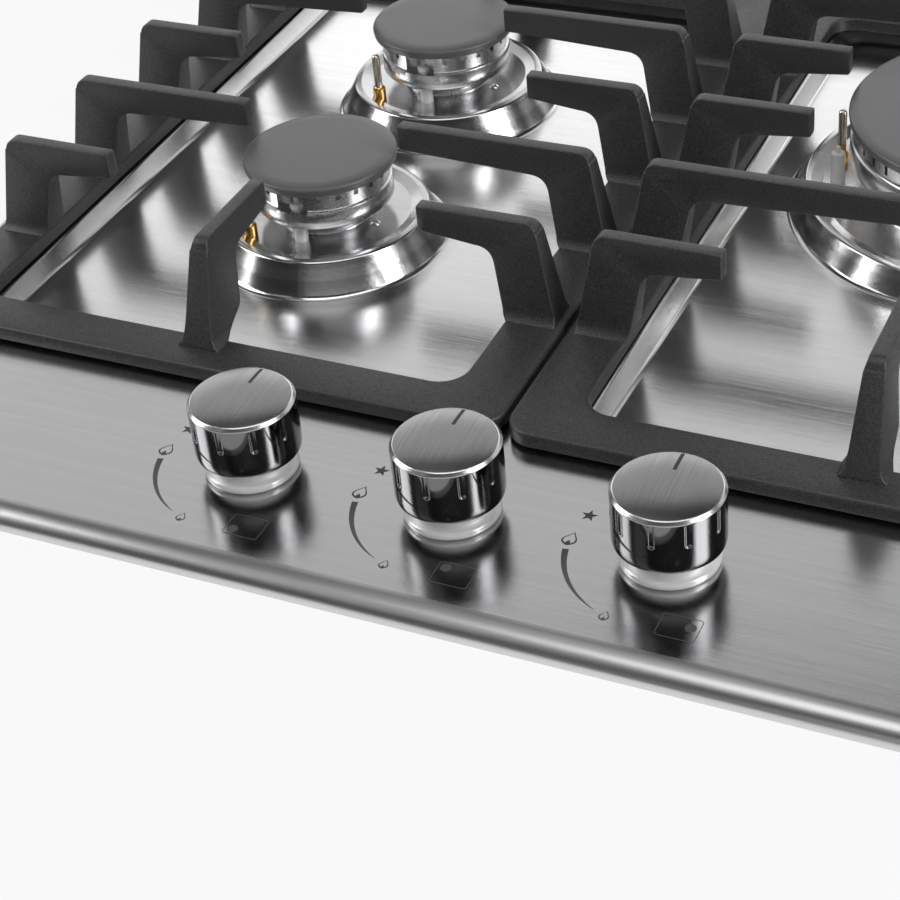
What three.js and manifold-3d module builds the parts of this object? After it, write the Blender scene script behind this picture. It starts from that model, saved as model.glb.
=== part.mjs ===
// Built-in gas cooktop, three burners, millimetres, +Z up.
// Origin: middle of the outline, at the underside of the bottom tray. The user stands at -Y.
import * as THREE from 'three';
import { mergeVertices } from 'three/addons/utils/BufferGeometryUtils.js';
import Module from 'manifold-3d';

const wasm = await Module();
wasm.setup();

// ---------------------------------------------------------------- driving dimensions
const gap = 0.3; // clearance between separate pieces
const past = 1; // how far a cutting body runs past a face, or a joined one into its neighbour
const plate = {
  width: 590, depth: 510, corner: 9, sheet: 1.2,
  rimHeight: 8, // top face above the worktop
  roll: 6.5, // radius of the rolled edge
  cornerSteps: 3,
};
const housing = { depth: 46, inset: 17, corner: 10, sheet: 1.2, lip: 7 }; // inset from the plate's edge
const basin = { // pressed field round the burners of one side
  fromSide: 40.5, fromMiddle: 26.5, fromFront: 112, fromRear: 27,
  corner: 16, depth: 6.5, wallRun: 6.5, floorFillet: 2.4, lipRound: 1.1,
};
const boss = { footFillet: 2, dishRun: 4 }; // raised conical ring pressed round each burner
const knobRow = { pitch: 86, fromFront: 59, count: 3 };
const knob = {
  radius: 21, top: 33, bottom: 10, footRadius: 19.8, footTaper: 4, domeRise: 0.7, chamfer: 1.1,
  wall: 3.2, crown: 5.5, hubRadius: 7.5, hubBottom: 14, steps: 30, hubSteps: 10,
  grooves: 10, grooveWidth: 2.4, grooveDepth: 1.1, grooveFrom: 2.2, grooveTo: 13, grooveSteps: 6,
  markWidth: 1.3, markDepth: 0.7, markFrom: 0.45, markTo: 0.93,
};
const bezel = { // ring under each knob: upright skirt, flat cone, and a collar up inside the knob
  radius: 19.9, skirtHeight: 2.9, shoulder: 19, shoulderHeight: 3.6, coneRadius: 14, coneHeight: 6.7,
  collarRadius: 13.4, collarHeight: 8.5, neckRadius: 12.5, bore: 6, steps: 18,
};
const tap = {
  radius: 12, bottom: 12, top: 44, wall: 3, rotorRadius: 7.2, bore: 8,
  saddleWidth: 18, outletRadius: 4.5, outletZ: 39, outletReach: 6, steps: 10,
};
const spindle = { radius: 4, flat: 2.6, coverHole: 5, reachKnob: 10, reachRotor: 8, steps: 8 };
const pushTravel = 3;
const rail = { radius: 8, behindTap: 26, z: 26, pastTap: 26, fromWall: 42, bend: 26, sides: 8, steps: 10 };
const inlet = {
  radius: 9.5, hexRadius: 13, hexLength: 9, bore: 6.5, fromWall: 1.5, outside: 14, hexSteps: 6, steps: 16,
};
const feed = {
  radius: 3, low: 31, pastRail: 22, straight: 40, bend: 20, sides: 6, steps: 10, sideways: [0, 96, 0],
};
const smallBurner = {
  bossRadius: 54.3, bossRise: 14.5, bossRun: 8.5, crest: 2, dishDrop: 1.6,
  cupRadius: 18, cupWall: 2, flangeWidth: 3.5, flange: 1.5, neckRadius: 20, seat: 13,
  injectorRadius: 10, injectorBottom: 26, injectorTop: 37,
  spigot: 4, band: 31.4, bandBottom: 15, bandTop: 24, bandEdge: 0.9, ring: 30.2, ringTop: 33, ringWall: 4.6,
  trough: 20, bore: 9, slots: 14, slotWidth: 2.2, slotDepth: 4.6,
  cap: 34.7, capHeight: 5, capUnder: 1, capLip: 3, capRim: 2, steps: 20,
  electrodeAngle: -90, notch: 14, pastBand: 5.8, sensorAngle: -131,
};
const wokBurner = {
  bossRadius: 93.5, bossRise: 11.3, bossRun: 7, crest: 2, dishDrop: 2,
  cupRadius: 50, cupWall: 2.5, flangeWidth: 10, flange: 1.5, neckRadius: 57, seat: 14,
  injectorRadius: 12, injectorBottom: 26, injectorTop: 36,
  spigot: 4, band: 67.5, bandBottom: 17, bandTop: 28, bandEdge: 1.2, ring: 66, ringTop: 36, ringWall: 5,
  trough: 22, bore: 45, slots: 28, slotWidth: 1.8, slotDepth: 5.5,
  cap: 68.5, capHeight: 5, capUnder: 1, capLip: 2.5, capRim: 2, capInward: 1.5, steps: 28,
  hub: 25, hubWall: 4, hubTop: 35, hubFloor: 20, hubBore: 7, hubSlots: 8, hubSteps: 16,
  bridges: 4, bridge: 12, bridgeTop: 26, centreCap: 27.5, centreCapHeight: 4.5,
  electrodeAngle: 205, pastBand: 5.9, sensorAngle: 180,
};
const electrode = {
  radius: 3.2, around: 0.6, below: 14, top: 25.5, edge: 0.8, tip: 1.1, tipLength: 3,
  pastFlange: 0.1, steps: 8,
};
const sensor = { // flame sensor: its rod and its brass ferrule
  rod: 1.9, point: 0.9, top: 29, ferrule: 3.1, ferruleHeight: 5.5, shoulder: 0.6,
  around: 0.7, below: 12, steps: 8,
};
const places = { inward: 0.5, smallY: 66.5, wokY: 45.5 }; // burners from the middle of their basin
const grate = {
  pastSide: 25.35, fromMiddle: 1.15, pastEnd: 10.6, // from the basin's edges and the middle line
  corner: 12, innerCorner: 12, sideBar: 25.2, frontBar: 21.5,
  clearance: 1.6, // underside of the frame above the top plate
  thickness: 6.6, edge: 1.2, panHeight: 52.5,
};
const finger = {
  armWidth: 6.4, rootHeight: 14, tipHeight: 11.6, footWidth: 15, flare: 1.6, flareHeight: 3,
  topRound: 4, underRound: 7, pitch: 58.7, curve: 2, edge: 0.6,
};
const sideLeg = { inset: 3.2, base: 23.2, lean: 8.3, heel: 3 };
const endLeg = { inset: 11.6, base: 26, lean: 14.3, heel: 9 };
// Finger tips past the burner caps; a long tip is measured from the support's centre line.
const reach = { pastWok: 6, pastSmall: 3.3, longTip: 18, endPastWok: 5.3 };
const foot = { radius: 4, insetX: 22, insetY: 5.8, steps: 8 };
const seal = { width: 5, inset: 8.5 };
const clamp = { width: 28, sheet: 1.8, tongue: 14, top: 36, bottom: 6, hookZ: 8, fromEnd: 88 };
const sparkBox = {
  width: 62, depth: 42, height: 24, x: -40, fromRear: 12,
  tower: 5, towerHeight: 5, towers: 3, pitch: 18, steps: 8,
};
const terminal = { width: 46, depth: 30, height: 26, x: 160, bore: 5.5, fromWall: 1.5, steps: 8 };
const bracket = { width: 14, sheet: 2, foot: 14, places: [-43, 43] };

// ---------------------------------------------------------------- derived levels
const top = housing.depth + plate.rimHeight; // upper face of the top plate
const underPlate = top - plate.sheet;
const basinFloor = top - basin.depth;
const trayFloor = housing.sheet;
const housingWidth = plate.width - 2 * housing.inset;
const housingLength = plate.depth - 2 * housing.inset;
const basinWidth = plate.width / 2 - basin.fromSide - basin.fromMiddle;
const basinLength = plate.depth - basin.fromFront - basin.fromRear;
const basinX = basin.fromMiddle + basinWidth / 2;
const basinY = (basin.fromFront - basin.fromRear) / 2;
const grateSide = basinX + basinWidth / 2 + grate.pastSide; // outer edge of a pan support
const grateX = (grateSide + grate.fromMiddle) / 2;
const grateWidth = grateSide - grate.fromMiddle;
const grateDepth = basinLength + 2 * grate.pastEnd;
const frontEdge = -plate.depth / 2;
const knobY = frontEdge + knobRow.fromFront;
const railY = knobY + rail.behindTap;
const railRight = housingWidth / 2 - rail.fromWall;
const grateLow = top + grate.clearance;
const grateHigh = grateLow + grate.thickness;
const knobX = (i) => (i - (knobRow.count - 1) / 2) * knobRow.pitch;
const bossTop = (size) => basinFloor + size.bossRise;
const dish = (size) => bossTop(size) - size.dishDrop; // floor round the burner, inside the raised ring
const radians = (degrees) => degrees * Math.PI / 180;
const burnerX = basinX - places.inward;
const burners = [
  { name: 'front_left', x: -burnerX, y: basinY - places.smallY, size: smallBurner },
  { name: 'rear_left', x: -burnerX, y: basinY + places.smallY, size: smallBurner },
  { name: 'right', x: burnerX, y: basinY + places.wokY, size: wokBurner },
];
const besideWok = wokBurner.cap + reach.pastWok; // a side finger's tip from the burner's middle
const besideSmall = smallBurner.cap + reach.pastSmall;
const sideTips = { // from the pan support's centre line, front to back
  left: [besideWok, besideSmall, besideWok, besideSmall, besideWok],
  right: [besideWok, reach.longTip, besideWok, besideWok, reach.longTip],
};
const endTip = places.wokY + wokBurner.cap + reach.endPastWok; // front and rear fingers, from the middle

// ---------------------------------------------------------------- materials
const metal = (color, roughness) => new THREE.MeshStandardMaterial({ color, roughness, metalness: 1 });
const matte = (color, roughness) => new THREE.MeshStandardMaterial({ color, roughness, metalness: 0 });
const brushedSteel = () => metal(0xb9babb, 0.34);
const galvanised = () => metal(0x9aa0a4, 0.5);
const aluminium = () => metal(0xc9cbcd, 0.3);
const chrome = () => metal(0xdfe1e3, 0.08);
const brass = () => metal(0xc79a4b, 0.3);
const castIron = () => matte(0x232425, 0.72);
const enamel = () => matte(0x2c2d2f, 0.5);
const ceramic = () => matte(0xf2efe9, 0.35);
const rubber = () => matte(0x161616, 0.8);
const blackPlastic = () => matte(0x1c1c1e, 0.55);

// ---------------------------------------------------------------- solids
// A closed three.js geometry as a solid; its winding is turned round if it faces inwards.
function solid(geometry) {
  const bare = new THREE.BufferGeometry();
  const source = geometry.index ? geometry.toNonIndexed() : geometry;
  bare.setAttribute('position', source.getAttribute('position'));
  const merged = mergeVertices(bare, 1e-4);
  const corners = Array.from(merged.index.array);
  const faces = [];
  for (let i = 0; i < corners.length; i += 3) {
    const [a, b, c] = corners.slice(i, i + 3);
    if (a !== b && b !== c && c !== a) faces.push([a, b, c]);
  }
  const build = (list) => new wasm.Manifold(new wasm.Mesh({
    numProp: 3,
    vertProperties: new Float32Array(merged.getAttribute('position').array),
    triVerts: new Uint32Array(list.flat()),
  }));
  const made = build(faces);
  return made.volume() < 0 ? build(faces.map(([a, b, c]) => [a, c, b])) : made;
}

function join(first, ...rest) {
  return rest.reduce((whole, piece) => whole.add(piece), first);
}

function cut(first, ...tools) {
  return tools.reduce((whole, tool) => whole.subtract(tool), first);
}

// A solid as a mesh of the scene.
function piece(name, body, material) {
  const { numProp, numVert, vertProperties, triVerts } = body.getMesh();
  const positions = new Float32Array(numVert * 3);
  for (let i = 0; i < numVert; i += 1) {
    positions.set(vertProperties.subarray(i * numProp, i * numProp + 3), i * 3);
  }
  const indexed = new THREE.BufferGeometry();
  indexed.setAttribute('position', new THREE.BufferAttribute(positions, 3));
  indexed.setIndex(new THREE.BufferAttribute(triVerts, 1));
  const flat = indexed.toNonIndexed();
  flat.computeVertexNormals();
  const mesh = new THREE.Mesh(flat, material);
  mesh.name = name;
  return mesh;
}

// Turned body: a closed [radius, z] outline swept round +Z, centred on (x, y).
function turned(outline, steps, x = 0, y = 0) {
  const loop = outline[0][0] > 0 ? [...outline, outline[0]] : outline;
  const points = loop.map(([radius, z]) => new THREE.Vector2(radius, z));
  const geometry = new THREE.LatheGeometry(points, steps);
  geometry.rotateX(Math.PI / 2);
  geometry.translate(x, y, 0);
  return solid(geometry);
}

function cylinder(radius, bottom, topZ, steps, x = 0, y = 0) {
  const geometry = new THREE.CylinderGeometry(radius, radius, topZ - bottom, steps);
  geometry.rotateX(Math.PI / 2);
  geometry.translate(x, y, (bottom + topZ) / 2);
  return solid(geometry);
}

// Cylinder along Y from y0 to y1.
function crossCylinder(radius, y0, y1, steps, x, z) {
  const geometry = new THREE.CylinderGeometry(radius, radius, y1 - y0, steps);
  geometry.translate(x, (y0 + y1) / 2, z);
  return solid(geometry);
}

// Box from its lowest to its highest corner.
function box(x0, y0, z0, x1, y1, z1) {
  const geometry = new THREE.BoxGeometry(x1 - x0, y1 - y0, z1 - z0);
  geometry.translate((x0 + x1) / 2, (y0 + y1) / 2, (z0 + z1) / 2);
  return solid(geometry);
}

// Corner points of a rounded rectangle, anticlockwise.
function roundedOutline(width, depth, radius, steps) {
  const points = [];
  const quarters = [[1, 1, 0], [-1, 1, 1], [-1, -1, 2], [1, -1, 3]];
  for (const [sx, sy, quarter] of quarters) {
    for (let i = 0; i <= steps; i += 1) {
      const angle = (quarter + i / steps) * Math.PI / 2;
      points.push([
        sx * (width / 2 - radius) + radius * Math.cos(angle),
        sy * (depth / 2 - radius) + radius * Math.sin(angle),
      ]);
    }
  }
  return points;
}

// Rounded rectangle swept through [inset, z] levels from one capped end to the other.
// With closed = true the levels form a ring instead, such as a frame or a gasket.
function swept({ width, depth, corner, steps = plate.cornerSteps, x = 0, y = 0 }, levels, closed = false) {
  const rings = levels.map(([inset, z]) => roundedOutline(
    width - 2 * inset, depth - 2 * inset, corner - inset, steps,
  ).map(([px, py]) => [px + x, py + y, z]));
  const count = rings[0].length;
  const positions = [];
  const facet = (...points) => points.forEach((point) => positions.push(...point));
  const bands = closed ? rings.length : rings.length - 1;
  for (let r = 0; r < bands; r += 1) {
    const low = rings[r];
    const high = rings[(r + 1) % rings.length];
    for (let i = 0; i < count; i += 1) {
      const j = (i + 1) % count;
      facet(low[i], low[j], high[j]);
      facet(low[i], high[j], high[i]);
    }
  }
  if (!closed) {
    const first = rings[0];
    const last = rings[rings.length - 1];
    for (let i = 0; i < count; i += 1) {
      const j = (i + 1) % count;
      facet(first[j], first[i], [x, y, first[0][2]]);
      facet(last[i], last[j], [x, y, last[0][2]]);
    }
  }
  const geometry = new THREE.BufferGeometry();
  geometry.setAttribute('position', new THREE.Float32BufferAttribute(positions, 3));
  return solid(geometry);
}

// Round bar along a curve.
function tube(curve, radius, sides, steps) {
  const section = new THREE.Shape();
  for (let i = 0; i < sides; i += 1) {
    const angle = (i / sides) * 2 * Math.PI;
    const point = [radius * Math.cos(angle), radius * Math.sin(angle)];
    if (i === 0) section.moveTo(...point);
    else section.lineTo(...point);
  }
  section.closePath();
  return solid(new THREE.ExtrudeGeometry(section, { steps, extrudePath: curve, bevelEnabled: false }));
}

// Rectangles [x0, x1, half width, z] lofted into one closed body.
function lofted(sections) {
  const rings = sections.map(([x0, x1, half, z]) => [
    [x0, -half, z], [x1, -half, z], [x1, half, z], [x0, half, z],
  ]);
  const positions = [];
  const facet = (...corners) => corners.forEach((corner) => positions.push(...corner));
  for (let r = 0; r < rings.length - 1; r += 1) {
    for (let i = 0; i < 4; i += 1) {
      const j = (i + 1) % 4;
      facet(rings[r][i], rings[r][j], rings[r + 1][j]);
      facet(rings[r][i], rings[r + 1][j], rings[r + 1][i]);
    }
  }
  const [a, b, c, d] = rings[0];
  const [e, f, g, h] = rings[rings.length - 1];
  facet(a, c, b);
  facet(a, d, c);
  facet(e, f, g);
  facet(e, g, h);
  const geometry = new THREE.BufferGeometry();
  geometry.setAttribute('position', new THREE.Float32BufferAttribute(positions, 3));
  return geometry;
}

// A block on the radius at the given angle, from r0 to r1, about (x, y).
function radialBlock(r0, r1, width, z0, z1, degrees, x, y) {
  const geometry = new THREE.BoxGeometry(r1 - r0, width, z1 - z0);
  geometry.translate((r0 + r1) / 2, 0, (z0 + z1) / 2);
  geometry.rotateZ(radians(degrees));
  geometry.translate(x, y, 0);
  return solid(geometry);
}

function around({ x, y }, distance, degrees) {
  return [x + distance * Math.cos(radians(degrees)), y + distance * Math.sin(radians(degrees))];
}

// ---------------------------------------------------------------- top plate
// Everything below one face of the sheet: inset = 0 is the upper face, inset = sheet the lower face.
function plateBody(inset, bottom) {
  const roll = plate.roll - inset;
  const levels = [[0, bottom]];
  for (let i = 0; i <= plate.cornerSteps; i += 1) {
    const angle = (i / plate.cornerSteps) * Math.PI / 2;
    levels.push([roll * (1 - Math.cos(angle)), top - plate.roll + roll * Math.sin(angle)]);
  }
  const outline = {
    width: plate.width - 2 * inset, depth: plate.depth - 2 * inset,
    corner: plate.corner - inset, steps: plate.cornerSteps,
  };
  const floor = basinFloor - inset;
  const pockets = [-1, 1].map((side) => swept({
    width: basinWidth + 2 * inset, depth: basinLength + 2 * inset, corner: basin.corner + inset,
    steps: plate.cornerSteps, x: side * basinX, y: basinY,
  }, [
    [basin.wallRun + basin.floorFillet, floor],
    [basin.wallRun - basin.floorFillet / 2, floor + basin.floorFillet / 2],
    [basin.lipRound, top - inset - basin.lipRound],
    [-basin.lipRound, top - inset],
    [-basin.lipRound, top + basin.depth],
  ]));
  const raised = burners.map(({ x, y, size }) => {
    const base = size.bossRadius - inset;
    const crest = base - size.bossRun;
    const high = bossTop(size) - inset;
    return turned([
      [0, floor - plate.sheet / 2],
      [base + boss.footFillet, floor - plate.sheet / 2],
      [base + boss.footFillet, floor],
      [base, floor + boss.footFillet / 2],
      [crest + size.crest / 2, high - size.crest / 2],
      [crest - size.crest / 2, high],
      [crest - size.crest / 2 - boss.dishRun, dish(size) - inset],
      [0, dish(size) - inset],
    ], size.steps, x, y);
  });
  return join(cut(swept(outline, levels), ...pockets), ...raised);
}

function topPlate() {
  const sheet = cut(plateBody(0, housing.depth), plateBody(plate.sheet, housing.depth - plate.sheet));
  const holes = [];
  const knobHole = bezel.neckRadius + gap;
  for (let i = 0; i < knobRow.count; i += 1) {
    holes.push(cylinder(knobHole, underPlate - past, top + past, bezel.steps, knobX(i), knobY));
  }
  for (const burner of burners) {
    const above = dish(burner.size) + past;
    const below = dish(burner.size) - 2 * plate.sheet;
    const hole = (radius, steps, place) => cylinder(radius, below, above, steps, ...place);
    holes.push(hole(burner.size.cupRadius + 2 * gap, burner.size.steps, [burner.x, burner.y]));
    holes.push(hole(electrode.radius + electrode.around, electrode.steps, electrodePlace(burner)));
    holes.push(hole(sensor.ferrule + sensor.around, sensor.steps, sensorPlace(burner)));
  }
  return cut(sheet, ...holes);
}

// ---------------------------------------------------------------- housing
function bottomTray() {
  const wall = housing.sheet;
  const outline = { width: housingWidth, depth: housingLength, corner: housing.corner };
  const tray = swept(outline, [
    [0, 0],
    [0, underPlate],
    [housing.lip, underPlate],
    [housing.lip, underPlate - wall],
    [wall, underPlate - wall],
    [wall, trayFloor],
  ]);
  const inside = housingLength / 2 - 2 * wall;
  const outside = housingLength / 2 + wall;
  const cableZ = terminalMiddle();
  const cableHole = crossCylinder(terminal.bore, inside, outside, terminal.steps, terminal.x, cableZ);
  const gasHole = crossCylinder(inlet.radius + gap, inside, outside, inlet.steps, railRight, rail.z);
  return cut(tray, cableHole, gasHole);
}

function worktopSeal() {
  return swept({
    width: plate.width - 2 * seal.inset, depth: plate.depth - 2 * seal.inset, corner: plate.corner,
  }, [[0, housing.depth], [0, underPlate], [seal.width, underPlate], [seal.width, housing.depth]], true);
}

function worktopClamp(side, along) {
  const wallX = side * housingWidth / 2;
  const flange = (reachX, z0, z1) => box(
    Math.min(wallX, wallX + side * reachX), along - clamp.width / 2, z0,
    Math.max(wallX, wallX + side * reachX), along + clamp.width / 2, z1,
  );
  const hookTop = clamp.hookZ + clamp.sheet;
  return join(flange(clamp.sheet, clamp.bottom, clamp.top), flange(clamp.tongue, clamp.hookZ, hookTop));
}

// ---------------------------------------------------------------- pan supports
// One finger: a leaning leg that rises from the frame and turns into a level arm.
// x runs from the outer edge of the frame to the tip, z up from the top of the frame.
function fingerGeometry({ inset, base, lean, heel }, tip, barWidth) {
  const rise = top + grate.panHeight - grateHigh;
  const root = rise - finger.rootHeight;
  const under = rise - finger.tipHeight;
  const sink = grate.thickness - grate.edge;
  const outer = (z) => inset + lean * z / rise;
  const inner = (z) => inset + base + lean * z / rise;
  const half = (z) => (finger.footWidth + (finger.armWidth - finger.footWidth) * z / root) / 2;
  const sections = [[inset, barWidth - grate.edge, half(0) + finger.flare, -sink]];
  for (let i = 0; i <= finger.curve; i += 1) {
    const part = i / finger.curve;
    const z = heel * part;
    const back = barWidth + (inner(heel) - barWidth) * Math.sin(part * Math.PI / 2);
    const flare = finger.flare * Math.max(0, 1 - z / finger.flareHeight) ** 2;
    sections.push([outer(z), back, half(z) + flare, z]);
  }
  sections.push([outer(root), inner(root), half(root), root]);
  for (let i = 0; i <= finger.curve; i += 1) {
    const angle = (i / finger.curve) * Math.PI / 2;
    const z = rise - finger.topRound * (1 - Math.sin(angle));
    const edge = Math.max(0, z - rise + finger.edge);
    sections.push([
      outer(rise) + finger.topRound * (1 - Math.cos(angle)), inner(root), half(root) - edge, z,
    ]);
  }
  const arm = new THREE.Shape();
  arm.moveTo(outer(rise) + finger.topRound, rise);
  arm.lineTo(tip, rise);
  arm.lineTo(tip, under);
  arm.lineTo(inner(root) + finger.underRound, root);
  arm.quadraticCurveTo(inner(root), root, inner(root - finger.underRound), root - finger.underRound);
  arm.lineTo(outer(root), root - finger.underRound);
  arm.closePath();
  const bar = new THREE.ExtrudeGeometry(arm, {
    depth: finger.armWidth, bevelEnabled: false, curveSegments: finger.curve,
  });
  bar.rotateX(Math.PI / 2); // the arm's outline was drawn flat; its height now runs along Z
  bar.translate(0, finger.armWidth / 2, 0);
  return [lofted(sections), bar];
}

function placedFinger(parts, turn, x, y) {
  return join(...parts.map((part) => {
    const placed = part.clone();
    placed.rotateZ(turn);
    placed.translate(x, y, grateHigh);
    return solid(placed);
  }));
}

function panSupport(centreX, tips) {
  const half = { x: grateWidth / 2, y: grateDepth / 2 };
  const frame = swept({
    width: grateWidth, depth: grateDepth, corner: grate.corner, x: centreX, y: basinY,
  }, [
    [grate.edge / 2, grateLow],
    [0, grateLow + grate.edge / 2],
    [grate.edge / 2, grateHigh - grate.edge],
    [grate.edge * 1.5, grateHigh],
  ]);
  const opening = swept({
    width: grateWidth - 2 * grate.sideBar, depth: grateDepth - 2 * grate.frontBar,
    corner: grate.innerCorner, x: centreX, y: basinY,
  }, [
    [0, grateLow - past],
    [0, grateHigh - grate.edge],
    [-grate.edge, grateHigh],
    [-grate.edge, grateHigh + past],
  ]);
  const fingers = [];
  tips.forEach((tip, i) => {
    const y = basinY + (i - (tips.length - 1) / 2) * finger.pitch;
    const parts = fingerGeometry(sideLeg, half.x - tip, grate.sideBar);
    fingers.push(placedFinger(parts, 0, centreX - half.x, y));
    fingers.push(placedFinger(parts, Math.PI, centreX + half.x, y));
  });
  const end = fingerGeometry(endLeg, half.y - endTip, grate.frontBar);
  fingers.push(placedFinger(end, Math.PI / 2, centreX, basinY - half.y));
  fingers.push(placedFinger(end, -Math.PI / 2, centreX, basinY + half.y));
  return join(cut(frame, opening), ...fingers);
}

function grateFeet(side, centreX) {
  const dx = grateWidth / 2 - foot.insetX;
  const dy = grateDepth / 2 - foot.insetY;
  return [['front_a', -dx, -dy], ['front_b', dx, -dy], ['rear_a', -dx, dy], ['rear_b', dx, dy]].map(
    ([place, x, y]) => piece(`grate_foot_${side}_${place}`,
      cylinder(foot.radius, top, grateLow, foot.steps, centreX + x, basinY + y), rubber()),
  );
}

// ---------------------------------------------------------------- burners
// The small burner's electrode stands in a notch of its ring, the wok burner's outside the band.
function electrodeAt(size) {
  const flangeEdge = size.cupRadius + size.flangeWidth;
  const besideFlange = flangeEdge + electrode.pastFlange + electrode.radius + electrode.around;
  return size.notch ? besideFlange : size.band + size.pastBand;
}

function electrodePlace(burner) {
  return around(burner, electrodeAt(burner.size), burner.size.electrodeAngle);
}

function sensorPlace(burner) {
  return around(burner, burner.size.band + burner.size.pastBand, burner.size.sensorAngle);
}

// Cup that hangs in the plate by its flange, with the injector holder under it.
function burnerCup({ x, y, size }) {
  const inner = size.neckRadius - 2 * size.cupWall;
  const bore = size.cupRadius - size.cupWall;
  const floor = size.injectorTop;
  const seat = top + size.seat;
  const flangeTop = dish(size) + size.flange;
  return turned([
    [0, size.injectorBottom],
    [size.injectorRadius, size.injectorBottom],
    [size.injectorRadius, floor],
    [size.cupRadius, floor],
    [size.cupRadius, dish(size)],
    [size.cupRadius + size.flangeWidth, dish(size)],
    [size.cupRadius + size.flangeWidth - size.flange / 3, flangeTop],
    [size.neckRadius, flangeTop],
    [size.neckRadius, seat],
    [inner, seat],
    [inner, seat - size.spigot - past],
    [bore, seat - size.spigot - size.cupWall],
    [bore, floor + size.cupWall],
    [0, floor + size.cupWall],
  ], size.steps, x, y);
}

// Ring with a polished band below and a row of flame ports cut in its upper edge.
function spreaderRing({ x, y, size }) {
  const seat = top + size.seat;
  const spigotRadius = size.neckRadius - 2 * size.cupWall - gap;
  const high = top + size.ringTop;
  const trough = top + size.trough;
  const wallInside = size.ring - size.ringWall;
  return turned([
    [size.bore, seat - size.spigot],
    [spigotRadius, seat - size.spigot],
    [spigotRadius, seat],
    [size.neckRadius, seat],
    [size.band - size.bandEdge, top + size.bandBottom],
    [size.band, top + size.bandBottom + size.bandEdge],
    [size.band, top + size.bandTop - size.bandEdge],
    [size.ring, top + size.bandTop],
    [size.ring, high],
    [wallInside, high],
    [wallInside, trough],
    [size.bore, trough],
  ], size.steps, x, y);
}

// Cutters for a row of flame ports, sawn down from the upper edge of a wall.
function ports({ x, y, size }, count, radius, wall, high) {
  const from = radius - wall - past;
  const to = radius + 2 * past;
  const floor = high - size.slotDepth;
  const blocks = [];
  for (let i = 0; i < count; i += 1) {
    const angle = (i + 0.5) * 360 / count + 90;
    blocks.push(radialBlock(from, to, size.slotWidth, floor, high + past, angle, x, y));
  }
  return blocks;
}

function smallSpreader(burner) {
  const { x, y, size } = burner;
  const high = top + size.ringTop;
  const wallInside = size.ring - size.ringWall;
  const behind = electrodeAt(size) - electrode.radius - electrode.around - past;
  const low = top + size.trough - past;
  const angle = size.electrodeAngle;
  const underRim = high - 2 * size.capUnder - gap;
  const across = size.notch + 2 * size.cupWall;
  const island = radialBlock(behind - size.cupWall, wallInside + past, across, low, underRim, angle, x, y);
  const notchFloor = top + size.bandTop - past;
  const notch = radialBlock(behind, size.band + 2 * past, size.notch, notchFloor, high + past, angle, x, y);
  const [channelX, channelY] = electrodePlace(burner);
  const channelFloor = top + size.bandBottom - size.spigot;
  const bore = electrode.radius + 2 * gap;
  const channel = cylinder(bore, channelFloor, high, electrode.steps, channelX, channelY);
  const slots = ports(burner, size.slots, size.ring, size.ringWall, high);
  return cut(join(spreaderRing(burner), island), notch, channel, ...slots);
}

function wokSpreader(burner) {
  const { x, y, size } = burner;
  const high = top + size.ringTop;
  const hubTop = top + size.hubTop;
  const hubFloor = top + size.hubFloor;
  const cupFloor = size.injectorTop + size.cupWall;
  const hub = turned([
    [size.hubBore, cupFloor + gap],
    [size.hubBore + size.hubWall, cupFloor + gap],
    [size.hubBore + size.hubWall, hubFloor - size.hubWall],
    [size.hub, hubFloor],
    [size.hub, hubTop],
    [size.hub - size.hubWall, hubTop],
    [size.hub - size.hubWall, hubFloor + past],
    [size.hubBore, hubFloor + past],
  ], size.hubSteps, x, y);
  const innerWall = turned([
    [size.bore, top + size.trough - past],
    [size.bore + size.cupWall, top + size.trough - past],
    [size.bore + size.cupWall, high],
    [size.bore, high],
  ], size.steps, x, y);
  const bridges = [];
  const bridgeTop = top + size.bridgeTop;
  for (let i = 0; i < size.bridges; i += 1) {
    const angle = (i + 0.5) * 360 / size.bridges;
    const [from, to] = [size.hub - past, size.bore + past];
    bridges.push(radialBlock(from, to, size.bridge, hubFloor, bridgeTop, angle, x, y));
  }
  const outer = ports(burner, size.slots, size.ring, size.ringWall, high);
  const inner = ports(burner, size.hubSlots, size.hub, size.hubWall, hubTop);
  return cut(join(spreaderRing(burner), innerWall, hub, ...bridges), ...outer, ...inner);
}

// Round enamelled cap with a locating rim underneath.
function roundCap({ x, y, size }, { radius, inside, seatZ, height, steps }) {
  const rim = inside - gap;
  return turned([
    [0, seatZ + size.capUnder / 2],
    [rim - size.capRim, seatZ + size.capUnder / 2],
    [rim - size.capRim, seatZ - 2 * size.capUnder],
    [rim, seatZ - 2 * size.capUnder],
    [rim, seatZ],
    ...capEdge(radius, seatZ, seatZ + height, size.capLip),
    [0, seatZ + height],
  ], steps, x, y);
}

// Rounded rim of a cap, from its seat up to its flat top.
function capEdge(radius, seatZ, capTop, lip) {
  return [
    [radius - lip / 3, seatZ],
    [radius, seatZ + lip / 2],
    [radius - lip / 4, capTop - lip / 4],
    [radius - lip, capTop],
  ];
}

function ringCap({ x, y, size }) {
  const seatZ = top + size.ringTop;
  const capTop = seatZ + size.capHeight;
  const rim = size.ring - size.ringWall - gap;
  return turned([
    [size.bore - size.capInward, seatZ],
    [rim - size.capRim, seatZ],
    [rim - size.capRim, seatZ - 2 * size.capUnder],
    [rim, seatZ - 2 * size.capUnder],
    [rim, seatZ],
    ...capEdge(size.cap, seatZ, capTop, size.capLip),
    [size.bore, capTop],
  ], size.steps, x, y);
}

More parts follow.
